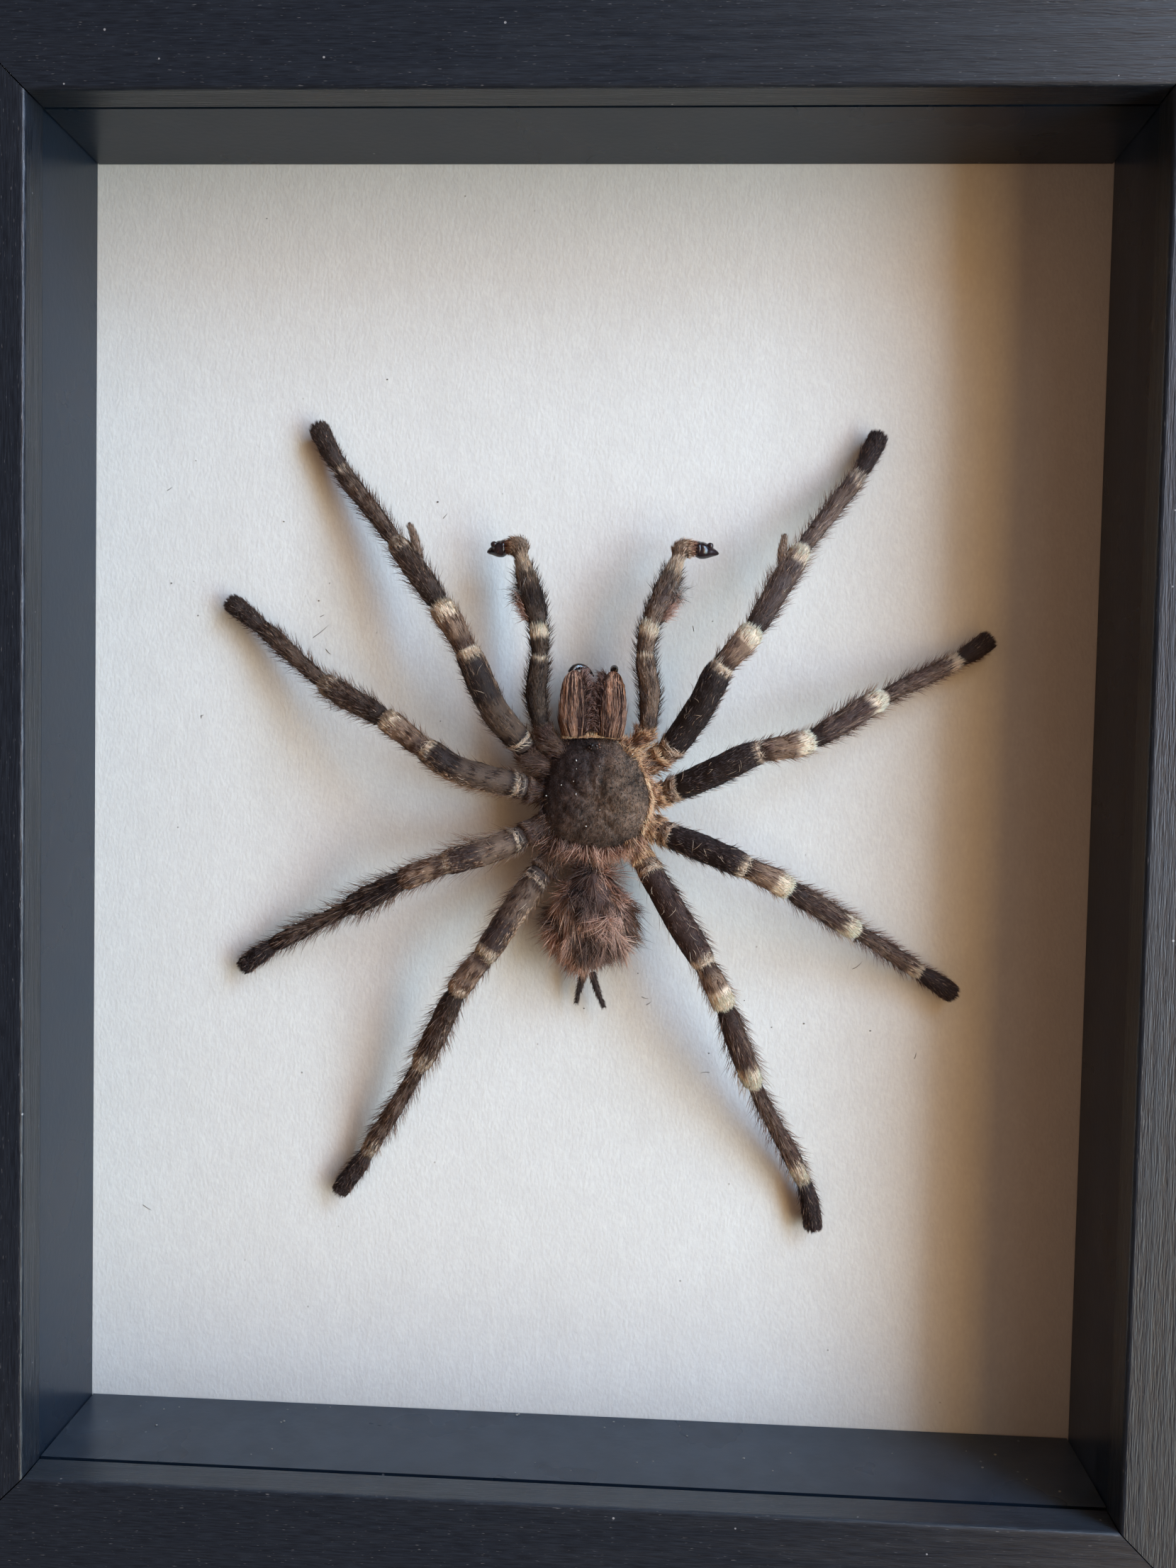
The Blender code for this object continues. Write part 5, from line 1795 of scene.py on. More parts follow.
@dataclass
class Cephalothorax:
    """The carapace with its eyes, the bases of all limbs, its velvet and its fringes."""

    limbs: dict[str, Knots]
    eye_mound: Triple = (2.4, 11.2, 11.1)
    coxa_radii: Row = (2.2, 2.75, 2.5)
    palp_coxa_radii: Row = (1.8, 2.0, 1.9)
    velvet_count: int = 13500
    margin_count: int = 2300
    edge_count: int = 950
    rim_count: int = 1700
    waist_count: int = 1100
    coxa_count: int = 640
    white_speck_spots: tuple[Triple, ...] = (
        (9.2, 9.8, 0.48), (-0.9, 8.2, 0.40), (-3.6, 3.8, 0.30), (-1.3, 4.6, 0.24), (-0.9, 1.9, 0.40),
        (-6.3, 1.7, 0.32), (1.4, -3.7, 0.36), (3.7, -0.7, 0.24), (-0.7, 6.9, 0.22), (3.4, 7.4, 0.18))
    carapace: Carapace = field(default_factory=Carapace)

    def coxa(self, knots: Knots, radii: Row) -> Tube:
        """Lay out a limb's base, from inside the body to just short of the limb's first point.

        Args:
            knots: The limb's own knots.
            radii: The base's radii at its two ends and between them.

        Returns:
            The base's skin as a tube.
        """
        end = np.array(knots[0], float)
        heading = unit(np.array(knots[1], float) - end)
        end = end - heading * 0.3
        centre = np.array((*self.carapace.centre, end[2]))
        start = centre + (end - centre) * 0.45
        route = [start, end - heading * 2.0, end]
        return Tube(on_card(route), even_profile(radii), 0.82, 0.25)

    def coxae(self) -> list[tuple[str, Tube]]:
        """Return the bases of all limbs."""
        return [(name, self.coxa(knots, self.palp_coxa_radii if "palp" in name else self.coxa_radii))
                for name, knots in self.limbs.items()]

    def skin(self) -> Shell:
        """Return the carapace, the eye mound and the coxae as one skin."""
        body = self.carapace.shell(100, 180)
        body.colours = self.velvet_colour(body.points) * 0.9
        mound = Bead(self.eye_mound, (1.15, 0.9, 1.15)).shell(14, 24)
        mound.colours[:] = MOUND_SKIN
        mouth = Bead((1.9, 17.0, 5.6), (2.4, 6.6, 2.3)).shell(20, 24)
        mouth.colours[:] = MOUTH_SKIN
        parts = [body, mound, mouth]
        for _, tube in self.coxae():
            part = tube.shell(20, 24)
            part.colours[:] = COXA_SKIN
            parts.append(part)
        return Shell.joined(parts)

    def velvet_colour(self, points: Array) -> Array:
        """Find the mottled colour of the velvet: darkest on the head, brown to the left, and to the right
        lighter, partly dust, partly painted light.

        Args:
            points: Places on the carapace.

        Returns:
            The colours.
        """
        across = points[:, 0] / MM - self.carapace.centre[0]
        up = (points[:, 2] - CENTRE_Z) / MM - self.carapace.centre[1]
        flat = points * IN_PLANE
        # The right side is lighter: partly dust, partly painted light.
        dusty_and_lit = smoothstep(-6.0, 6.5, across - 0.25 * up)
        colours = mixed(VELVET_BROWN, VELVET_DUSTY_LIT, dusty_and_lit)
        colours = mixed(colours, VELVET_REAR, smoothstep(4.0, 9.0, -up) * 0.85)
        head = smoothstep(2.0, 8.5, up - 0.95 * across)
        colours = mixed(colours, VELVET_HEAD, head * 0.9)
        brow = smoothstep(7.0, 9.5, up) * smoothstep(-0.5, 1.5, across)
        colours = mixed(colours, VELVET_BROW, brow * 0.7)
        cloud = lattice_noise(flat / (2.3 * MM), 31)
        warp = flat + 0.5 * MM * (lattice_noise(flat / (0.9 * MM), 34) - 0.5)[:, None]
        fine = lattice_noise(warp / (0.36 * MM), 32)
        calm = 1.0 - 0.5 * head
        shade = 1.0 + calm * (0.9 * (cloud - 0.5) + 1.3 * (fine - 0.5))
        groove = self.carapace.furrow(across / self.carapace.half[0], up / self.carapace.half[1])
        return colours * (np.clip(shade, 0.3, 1.7) * (1.0 - 0.22 * groove))[:, None]

    def velvet(self, rng: Chance) -> Hairs:
        """Grow the very short coat of the carapace.

        Args:
            rng: The seeded source of chance.

        Returns:
            The hair.
        """
        points, normals, units = self.carapace.scattered(self.velvet_count, rng, 1.62)
        across = points[:, 0] / MM - self.eye_mound[0]
        up = (points[:, 2] - CENTRE_Z) / MM - self.eye_mound[1]
        away = np.hypot(across, up)
        keep = away > 1.25
        points, normals, units = points[keep], normals[keep], units[keep]
        back = stacked(units[:, 0], 0.0, units[:, 1] - 0.5)
        heading = wavered(unit(normals * 0.45 + unit(back) * 0.9), points, rng, 0.5, 0.2, 0.8)
        colours = varied(self.velvet_colour(points), rng, 0.25)
        lengths = rng.uniform(0.22, 0.60, len(points))
        widths = rng.uniform(0.08, 0.14, len(points))
        tip = np.clip(colours * 1.2, 0, 0.9)
        return Hairs(points - normals * 0.03 * MM, heading, 0.0, lengths, widths, root_shaded(colours, 0.8), tip)

    def white_specks(self, rng: Chance) -> Hairs:
        """Grow the few white specks on the carapace, as short broad hairs.

        Args:
            rng: The seeded source of chance.

        Returns:
            The hair.
        """
        count = len(self.white_speck_spots)
        spots = np.array(self.white_speck_spots)
        roots = on_card(stacked(spots[:, 0], spots[:, 1], 9.0))
        points, normals, _ = self.carapace.scattered(self.velvet_count, rng, 1.62)
        near = np.argmin((((points[None] - roots[:, None]) * IN_PLANE) ** 2).sum(-1), 1)
        heading = unit(normals[near] * 0.3 + rng.normal(0.0, 1.0, (count, 3)) * IN_PLANE)
        return Hairs(points[near] + normals[near] * 0.25 * MM, heading, 0.0, spots[:, 2],
                     spots[:, 2] * 0.8, SPECK_WHITE, SPECK_WHITE)

    def margin(self, rng: Chance) -> Hairs:
        """Grow the long fringe that stands out from the carapace's rim all round but in front.

        Args:
            rng: The seeded source of chance.

        Returns:
            The hair.
        """
        count = self.margin_count
        turn = np.radians(rng.uniform(-245.0, 65.0, count))
        polar = rng.normal(1.58, 0.12, count)
        points, normals, _ = self.carapace.surface(polar, turn)
        out = unit(normals * np.array((1.0, 0.15, 1.0)))
        rear = smoothstep(0.55, 0.9, -np.sin(turn))
        heading = unit(out + OFF_CARD * 0.45 + REARWARD * 0.55)
        heading = wavered(heading, points, rng, 0.75, 0.12)
        lengths = 1.7 + 1.0 * rear + rng.uniform(0.0, 1.4, count)
        right = smoothstep(-0.1, 0.6, np.cos(turn))
        lengths = lengths * (0.7 + 0.3 * np.maximum(right, rear))
        colours = mixed(MARGIN_DARK, MARGIN_BRIGHT, right * rng.uniform(0.35, 1.0, count))
        colours = mixed(colours, MARGIN_REAR, rear * rng.uniform(0.2, 0.9, count))
        colours = varied(colours, rng, 0.25)
        bends = curled(heading, points, rng, 0.16, 0.6, 1.0, 1.1)
        return Hairs(points - normals * 0.1 * MM, heading, bends, lengths,
                     rng.uniform(0.10, 0.16, count), root_shaded(colours), colours)

    def front_edge(self, rng: Chance) -> Hairs:
        """Grow the dense pale brush of short hair that stands along the carapace's straight front edge.

        Args:
            rng: The seeded source of chance.

        Returns:
            The hair.
        """
        count = self.edge_count
        across = rng.uniform(-6.1, 6.3, count)
        brush = rng.uniform(size=count) < 0.6
        roots = stacked(2.1 + across, 12.9 - 0.012 * across**2 + rng.normal(0.0, 0.07, count),
                        9.7 - 0.02 * across**2 + rng.uniform(-0.5, 0.3, count))
        points = on_card(roots)
        level = stacked(np.sign(rng.normal(0.0, 1.0, count)), -0.25, 0.12)
        upright = stacked(0.04 * across, -0.25, 1.0)
        heading = wavered(unit(np.where(brush[:, None], upright, level)), points, rng, 0.15, 0.12)
        colours = mixed(EDGE_PALE, EDGE_TAWNY, rng.uniform(0, 0.7, count))
        colours = varied(np.where(brush[:, None], colours, np.array(EDGE_LEVEL)), rng, 0.2)
        lengths = np.where(brush, rng.uniform(0.7, 1.5, count), rng.uniform(0.5, 0.9, count))
        return Hairs(points, heading, 0.0, lengths,
                     rng.uniform(0.11, 0.16, count), root_shaded(colours, 0.8), colours)

    def rim(self, rng: Chance) -> Hairs:
        """Grow the bright tan hair that lies along the rim on the right-hand side.

        Args:
            rng: The seeded source of chance.

        Returns:
            The hair.
        """
        count = self.rim_count
        turn = np.radians(rng.uniform(-38.0, 58.0, count))
        points, normals, _ = self.carapace.surface(rng.normal(1.43, 0.06, count), turn)
        heading = wavered(unit(normals * 0.45 + REARWARD * 0.65 + OFF_CARD * 0.3), points, rng, 0.3, 0.16)
        colours = mixed(RIM_PALE, RIM_TAWNY, rng.uniform(0, 1.0, count) ** 1.8)
        return Hairs(points, heading, rng.normal(0.0, 0.15, heading.shape), rng.uniform(0.6, 1.6, count),
                     rng.uniform(0.11, 0.16, count), root_shaded(colours, 0.7), varied(colours, rng, 0.2))

    def waist(self, rng: Chance) -> Hairs:
        """Grow the long hair that runs back from the carapace over the waist.

        Args:
            rng: The seeded source of chance.

        Returns:
            The hair.
        """
        count = self.waist_count
        spread = rng.normal(0.0, 0.36, count)
        roots = stacked(self.carapace.centre[0] + spread * 12.0,
                        self.carapace.centre[1] - 9.6 + 2.2 * spread**2 + rng.normal(0.0, 0.5, count),
                        rng.uniform(6.8, 9.6, count))
        points = on_card(roots)
        heading = unit(stacked(spread * 0.9, -0.30, -1.0))
        heading = wavered(heading, points, rng, 1.05, 0.12, 1.9)
        colours = mixed(WAIST_RUST, WAIST_PALE, rng.uniform(0.0, 1.0, count) ** 1.3)
        dull = smoothstep(0.1, -0.5, spread) * 0.4
        colours = varied(mixed(colours, WAIST_DULL, dull), rng, 0.3)
        bends = curled(heading, points, rng, 0.14, 0.7, 1.0, 2.0)
        return Hairs(points, heading, bends, rng.uniform(2.6, 6.4, count),
                     rng.uniform(0.11, 0.16, count), root_shaded(colours), colours)

    def coxa_hair(self, rng: Chance) -> list[Hairs]:
        """Grow the soft long hair on the bases of the limbs.

        Args:
            rng: The seeded source of chance.

        Returns:
            The hair of each base.
        """
        made = []
        for name, tube in self.coxae():
            count = self.coxa_count
            places = rng.uniform(0.25, 2.0, count)
            angles = rng.normal(0.0, 1.05, count)
            points, out, along = tube.surface(places, angles)
            heading = wavered(unit(along * 0.85 + out * 0.24 + REARWARD * 0.25), points, rng, 0.60, 0.10)
            # Painted light and shade: the right bases take the lit colour and pale tips, the left ones the
            # shaded colour.
            lit = 1.0 if "right" in name else 0.14
            ground = COXA_RIGHT_LIT if "right" in name else COXA_LEFT_SHADED
            lock = smoothstep(0.25, 0.75, lattice_noise(points / (0.8 * MM), 71))
            colours = mixed(ground, COXA_TIP, lit * lock * rng.uniform(0.5, 1.0, count))
            colours = varied(colours, rng, 0.26)
            bends = curled(heading, points, rng, 0.16, 0.5, 0.8, 0.9)
            lengths = rng.uniform(1.6, 3.2, count) * np.interp(places, [0.0, 1.0, 2.0], [1.1, 0.9, 0.35])
            made.append(Hairs(points, heading, bends, lengths,
                              rng.uniform(0.09, 0.15, count), root_shaded(colours, 0.6), colours))
        return made

    def eyes(self) -> Shell:
        """Return the eight small eyes on their mound, in mirrored pairs."""
        x, y, h = self.eye_mound
        pairs = ((0.40, 0.15, 1.00, 0.33), (0.85, 0.40, 0.62, 0.28),
                 (0.98, -0.15, 0.58, 0.25), (0.60, -0.42, 0.80, 0.20))
        return Shell.joined([Bead((x + side * a, y + b, h + c), (r, r, r)).shell(10, 16)
                             for a, b, c, r in pairs for side in (-1.0, 1.0)])

    def build(self, finishes: SpecimenFinishes) -> None:
        """Add the skin, the coat and the eyes."""
        rng = np.random.default_rng(401)
        skin = self.skin().mesh("cephalothorax")
        add_piece("cephalothorax_skin", skin, finishes.skin, "hairy", "cephalothorax")
        velvet = Shell.joined([self.velvet(rng).shell(1), self.white_specks(rng).shell(2)])
        add_piece("cephalothorax_velvet", velvet.mesh("velvet"), finishes.hair, "hairy")
        coats = [self.margin(rng), self.front_edge(rng), self.rim(rng), self.waist(rng), *self.coxa_hair(rng)]
        fringe = Shell.joined([coat.shell(2) for coat in coats])
        add_piece("cephalothorax_fringe", fringe.kept_off_card().mesh("fringe"), finishes.hair, "hairy")
        add_piece("eyes", self.eyes().mesh("eyes"), finishes.eye, "fang")


@dataclass
class AbdomenBody(Ball):
    """The shrunken abdomen: an ellipsoid that narrows to the front and is dented all over."""

    centre: Triple = (2.6, -20.9, 7.6)
    half: Triple = (8.6, 11.4, 6.2)
    narrowing: float = 0.30
    inset: float = 0.80

    def shape(self, units: Array) -> Array:
        """Return centre + inset * half sizes * unit point, narrowed to the front and dented by noise."""
        taper = 1.0 - self.narrowing * np.maximum(units[..., 1:2], 0.0)
        dents = 1.0 + 0.16 * (lattice_noise(units * 3.2 + 7.0, 41) - 0.5)
        widths = np.array(self.half) * self.inset
        narrow = np.concatenate([taper, np.ones_like(taper), np.ones_like(taper)], -1)
        return np.array(self.centre) + units * widths * narrow * dents[..., None]


@dataclass
class Abdomen:
    """The abdomen with its under fur and its long, tangled hair."""

    body: AbdomenBody = field(default_factory=AbdomenBody)
    fur_count: int = 8000
    long_count: int = 5700
    fringe_count: int = 1000

    def colours(self, points: Array, rng: Chance) -> Array:
        """Find hair colours in dark, rusty and pale locks, which run lengthwise, with painted shade in the
        gaps between locks.

        Args:
            points: The roots of the hairs.
            rng: The seeded source of chance.

        Returns:
            The colours.
        """
        across = points[:, 0] / MM - self.body.centre[0]
        up = (points[:, 2] - CENTRE_Z) / MM - self.body.centre[1]
        lock = lattice_noise(stacked(across / 0.9 + 0.25 * up, up / 3.4, 0.0), 51)
        patch = lattice_noise(stacked(across / 3.2, up / 3.2, 0.0), 52)
        rusty = smoothstep(0.32, 0.70, patch + 0.02 * across)
        colours = mixed(ABDOMEN_DARK, ABDOMEN_RUST, rusty)
        pale = smoothstep(0.50, 0.66, lock) * rng.uniform(0.3, 1.0, len(points))
        colours = mixed(colours, ABDOMEN_PALE, pale)
        # Painted shade in the gaps between locks.
        hollow_shade = smoothstep(0.46, 0.28, lock)
        colours = mixed(colours, ABDOMEN_HOLLOW_SHADE, 0.6 * hollow_shade)
        dark = smoothstep(-2.0, -7.0, up) * smoothstep(5.0, 2.0, np.abs(across + 0.5))
        colours = mixed(colours, ABDOMEN_REAR, 0.65 * dark)
        return varied(colours, rng, 0.42)

    def coat(self, count: int, rng: Chance, lean: float, clump: float, lengths: Pair) -> Hairs:
        """Grow hair that lies towards the rear, and forwards only on the front end.

        Args:
            count: How many hairs, before those on the underside are left out.
            rng: The seeded source of chance.
            lean: How far the hair stands off the skin.
            clump: How far neighbours turn together.
            lengths: The shortest and the longest length in millimetres.

        Returns:
            The hair.
        """
        points, normals, units = self.body.scattered(count, rng, 1.95)
        outward = unit(normals * np.array((1.0, 0.6, 1.0)))
        flow = 1.0 - 1.2 * smoothstep(0.72, 0.98, units[:, 1])
        heading = unit(outward * lean + REARWARD * flow[:, None])
        heading = wavered(heading, points, rng, clump, 0.16, 2.3)
        curl = stacked(*(lattice_noise(points / (1.6 * MM), seed) for seed in (61, 62, 63))) - 0.5
        flowing = REARWARD * rng.uniform(0.0, 0.35, len(points))[:, None]
        bends = flowing + 2.0 * curl + rng.normal(0.0, 0.14, (len(points), 3))
        reach = 1.0 - 0.58 * smoothstep(0.25, 0.85, -units[:, 1])
        colours = self.colours(points, rng)
        tips = mixed(colours, ABDOMEN_TIP, rng.uniform(0.0, 0.5, len(points)))
        return Hairs(points - normals * 0.05 * MM, heading, bends, rng.uniform(*lengths, len(points)) * reach,
                     rng.uniform(0.09, 0.145, len(points)), root_shaded(colours, 0.35), tips)

    def lower_fringe(self, rng: Chance) -> Hairs:
        """Grow the soft tan fringe that hangs from the lower left.

        Args:
            rng: The seeded source of chance.

        Returns:
            The hair.
        """
        count = self.fringe_count
        turn = np.radians(rng.uniform(195.0, 262.0, count))
        points, normals, _ = self.body.surface(rng.normal(1.45, 0.15, count), turn)
        heading = wavered(unit(normals * 0.8 + np.array((-0.1, 0.0, -0.9))), points, rng, 0.3, 0.15)
        colours = mixed(FRINGE_TAN, FRINGE_PALE, rng.uniform(0, 1, count))
        colours = varied(colours, rng, 0.25)
        return Hairs(points, heading, rng.normal(0.0, 0.15, heading.shape), rng.uniform(2.4, 4.6, count),
                     rng.uniform(0.12, 0.17, count), root_shaded(colours), colours)

    def build(self, finishes: SpecimenFinishes) -> None:
        """Add the skin and the hair."""
        rng = np.random.default_rng(501)
        skin = self.body.shell(48, 72)
        skin.colours[:] = ABDOMEN_SKIN
        fur = self.coat(self.fur_count, rng, 0.35, 0.60, (1.4, 2.4))
        long = self.coat(self.long_count, rng, 0.55, 1.25, (3.0, 5.2))
        hair = Shell.joined([fur.shell(1), long.shell(3), self.lower_fringe(rng).shell(2)]).kept_off_card()
        add_coated("abdomen", skin, hair, finishes, "abdomen")


@dataclass
class Chelicera:
    """One chelicera: a stout base with hair that lies lengthwise in streaks.

    room_left is the length left for a hair at each place along the base, and inwards how far it
    bends back to the skin.
    """

    name: str
    knots: Knots
    seed: int
    inner: float
    profile: Profile = field(default_factory=lambda: [
        (0.0, 3.05), (1.0, 3.2), (2.0, 3.15), (2.6, 2.95), (3.2, 2.55), (3.8, 2.05), (4.3, 1.5), (4.7, 1.0),
        (5.0, 0.5)])
    room_left: tuple[Row, Row] = ((0, 1, 2, 3, 4, 4.75), (11.0, 9.5, 6.2, 2.6, 1.0, 0.4))
    inwards: tuple[Row, Row] = ((0.0, 1.5, 2.6, 3.6, 4.75), (0.04, 0.14, 0.50, 1.00, 1.30))
    hair_count: int = 3700
    brush_count: int = 650

    def tube(self) -> Tube:
        """Return the skin as a tube."""
        return Tube(on_card(self.knots), self.profile, 0.82, 0.2)

    def brush(self, rng: Chance) -> Hairs:
        """Grow the soft pinkish hair that stands out of the inner flank.

        Args:
            rng: The seeded source of chance.

        Returns:
            The hair.
        """
        count = self.brush_count
        places = rng.uniform(0.3, 4.2, count)
        angles = self.inner * rng.normal(1.5, 0.35, count)
        points, out, along = self.tube().surface(places, angles)
        heading = wavered(unit(out * 0.8 + along * 0.6 + OFF_CARD * 0.3), points, rng, 0.35, 0.2)
        colours = mixed(BRUSH_DARK, BRUSH_PINK, rng.uniform(0.0, 1.0, count) ** 1.3)
        return Hairs(points, heading, rng.normal(0.0, 0.25, heading.shape), rng.uniform(1.2, 2.2, count),
                     0.12, colours * 0.6, colours)

    def streaked(self, places: Array, angles: Array, rng: Chance) -> Array:
        """Find the colours of the lengthwise streaks, darker on the inner flank and the outer edge as painted
        shade.

        Args:
            places: Where along the chelicera, in knots from its start.
            angles: Where round it, in radians from its top.
            rng: The seeded source of chance.

        Returns:
            The colours.
        """
        strand = stacked(angles * 13.0 + places * 0.5, places * 0.40, 0.0)
        streak = smoothstep(0.34, 0.60, lattice_noise(strand, self.seed))
        streak = streak * np.interp(places, [0.0, 1.6, 3.0], [0.6, 0.85, 1.0])
        # Painted shade: the streaks are darker on the inner flank and the outer edge.
        flank = smoothstep(0.55, 1.1, angles * self.inner)
        edge = smoothstep(1.0, 1.6, -angles * self.inner)
        lit = streak * (1.0 - 0.8 * flank) * (1.0 - 0.5 * edge) * rng.uniform(0.5, 1.0, len(places))
        colours = mixed(STREAK_DARK, STREAK_PALE, lit)
        colours = mixed(colours, STREAK_RUST, smoothstep(3.0, 4.6, places) * 0.30)
        return varied(colours, rng, 0.28)

    def coat(self, rng: Chance) -> Hairs:
        """Grow the streaked hair, which ends where the fang begins.

        Args:
            rng: The seeded source of chance.

        Returns:
            The hair.
        """
        count = self.hair_count
        places = rng.uniform(0.0, 4.75, count)
        angles = rng.normal(0.0, 1.0, count)
        points, out, along = self.tube().surface(places, angles)
        lean = np.radians(rng.uniform(4.0, 13.0, count))
        heading = wavered(leaning(along, out, lean), points, rng, 0.12, 0.05)
        colours = self.streaked(places, angles, rng)
        left = np.interp(places, *self.room_left)
        left = left * (1.0 - 0.30 * smoothstep(0.5, 1.6, np.abs(angles)))
        lengths = np.minimum(rng.uniform(2.2, 4.2, count), left * rng.uniform(0.75, 1.0, count))
        inwards = np.interp(places, *self.inwards)[:, None]
        widths = rng.uniform(0.09, 0.14, count)
        return Hairs(points, heading, -out * inwards, lengths, widths, root_shaded(colours, 0.85), colours)

    def build(self, finishes: SpecimenFinishes) -> None:
        """Add the skin and the hair."""
        rng = np.random.default_rng(self.seed)
        skin = self.tube().shell(60, 36)
        skin.colours[:] = CHELICERA_SKIN
        hair = Shell.joined([self.coat(rng).shell(2), self.brush(rng).shell(2)]).kept_off_card()
        add_coated(self.name, skin, hair, finishes, "chelicera")


@dataclass
class HardTube:
    """A smooth hard part such as a fang: a tapering tube along a curve."""

    name: str
    knots: Knots
    radii: Row
    slot: str = "fang"
    reference: Triple = (0.0, -1.0, 0.0)

    def tube(self) -> Tube:
        """Return the surface."""
        return Tube(on_card(self.knots), even_profile(self.radii), reference=np.array(self.reference))

    def build(self, finish: bpy.types.Material) -> None:
        """Add the part, which stands for its CAD node."""
        mesh = self.tube().shell(56, 28).mesh(self.name)
        add_piece(self.name + "_form", mesh, finish, self.slot, self.name)


@dataclass
class Spinneret:
    """One long, thin spinneret with a sparse short coat."""

    name: str
    knots: Knots
    seed: int
    radii: Row = (0.66, 0.55, 0.24)
    hair_count: int = 420

    def build(self, finishes: SpecimenFinishes) -> None:
        """Add the skin and the hair."""
        rng = np.random.default_rng(self.seed)
        tube = Tube(on_card(self.knots), even_profile(self.radii), 1.0, 0.12)
        skin = tube.shell(40, 16)
        skin.colours[:] = SPINNERET_SKIN
        count = self.hair_count
        places = rng.uniform(0.0, 1.98, count)
        points, out, along = tube.surface(places, rng.uniform(-np.pi, np.pi, count))
        heading = wavered(unit(along * 0.9 + out * 0.45), points, rng, 0.1, 0.1)
        colours = mixed(DARK, SPINNERET_TIP, rng.uniform(0.0, 0.7, count))
        hair = Hairs(points, heading, 0.0, rng.uniform(0.5, 1.0, count), 0.10, colours * 0.7, colours)
        add_coated(self.name, skin, hair.shell(1).kept_off_card(), finishes)


@dataclass
class CardDebris:
    """Loose hairs and crumbs that lie on the card."""

    hairs: tuple[tuple[float, float, float, float, float], ...] = (
        (-77.0, 15.4, 0.9, 12.0, 0.2), (-76.8, 15.0, 0.7, 75.0, 0.3), (-54.4, 31.4, 4.4, 33.0, 0.12),
        (-50.6, 17.2, 1.7, 88.0, 0.25), (-23.4, 23.6, 2.4, 172.0, 0.10), (-23.2, 22.9, 1.6, 150.0, -0.20),
        (-51.8, 29.2, 1.6, -60.0, 0.3), (20.9, 33.9, 1.3, 95.0, 0.15),
        (53.5, -31.6, 2.4, 20.0, 0.4), (26.0, -53.0, 1.8, 170.0, 0.3), (-28.8, 55.2, 1.5, 40.0, 0.2),
        (12.2, -38.3, 1.5, -35.0, 0.4), (13.2, -39.9, 1.2, 10.0, 0.5), (-53.0, 35.6, 1.0, 15.0, 0.2),
        (-88.0, -84.0, 2.2, -40.0, 0.2), (66.0, -49.0, 1.4, 60.0, 0.3), (-84.0, 60.0, 1.3, 25.0, 0.2))
    spots: tuple[Triple, ...] = (
        (-77.6, 35.4, 0.14), (-53.3, 38.7, 0.16), (-29.9, 58.4, 0.20), (-51.2, 42.2, 0.12),
        (-28.7, 15.4, 0.13), (-45.9, 56.0, 0.12), (-64.5, 113.1, 0.12), (57.3, -43.7, 0.16),
        (53.7, -26.1, 0.26), (25.8, -49.2, 0.14))
    specks: int = 46
    ledge_crumbs: int = 34
    ledge: float = -123.45

    def loose_hairs(self) -> Hairs:
        """Return the hairs, from rows of a place, a length, a direction in degrees and a curl."""
        across, up, lengths, degrees, curl = np.array(self.hairs).T
        turn = np.radians(degrees)
        heading = stacked(np.cos(turn), 0.0, np.sin(turn))
        roots = on_card(stacked(across, up, 0.06))
        bends = np.cross(OFF_CARD, heading) * curl[:, None]
        return Hairs(roots, heading, bends, lengths, 0.11, LOOSE_HAIR, LOOSE_HAIR)

    @staticmethod
    def crumb(place: Triple, half: Triple, colour: Colour) -> Shell:
        """Return one crumb of these half sizes."""
        bead = Bead(place, half).shell(5, 8)
        bead.colours[:] = colour
        return bead

    def build(self, effects: Effects) -> None:
        """Add the debris as one piece that touches the card."""
        rng = np.random.default_rng(801)
        across = rng.uniform(-94.0, 60.0, self.specks)
        up = rng.uniform(-118.0, 118.0, self.specks)
        sizes = rng.uniform(0.06, 0.17, self.specks)
        fallen = rng.uniform((-92.0, 0.4, 0.10), (92.0, 21.0, 0.30), (self.ledge_crumbs, 3))
        lying = [(spot, SPECK) for spot in zip(across, up, sizes)]
        lying += [(spot, SPOT) for spot in self.spots]
        parts = [self.loose_hairs().shell(3)]
        for (x, y, size), colour in lying:
            parts.append(self.crumb((x, y, size * 0.5), (size, size * 0.8, size * 0.6), colour))
        for x, height, size in fallen:
            place = (x, self.ledge + size * 0.45, height)
            parts.append(self.crumb(place, (size, size * 0.5, size * 0.8), LEDGE_CRUMB))
        shell = Shell.joined(parts)
        shell.points[:, 1] = np.minimum(shell.points[:, 1], CARD_Y)
        finish = CoatFinish("loose_crumbs", 0.7, 3000.0, 0.00001).build(effects)
        add_piece("card_debris", shell.mesh("card_debris"), finish, "hairy")


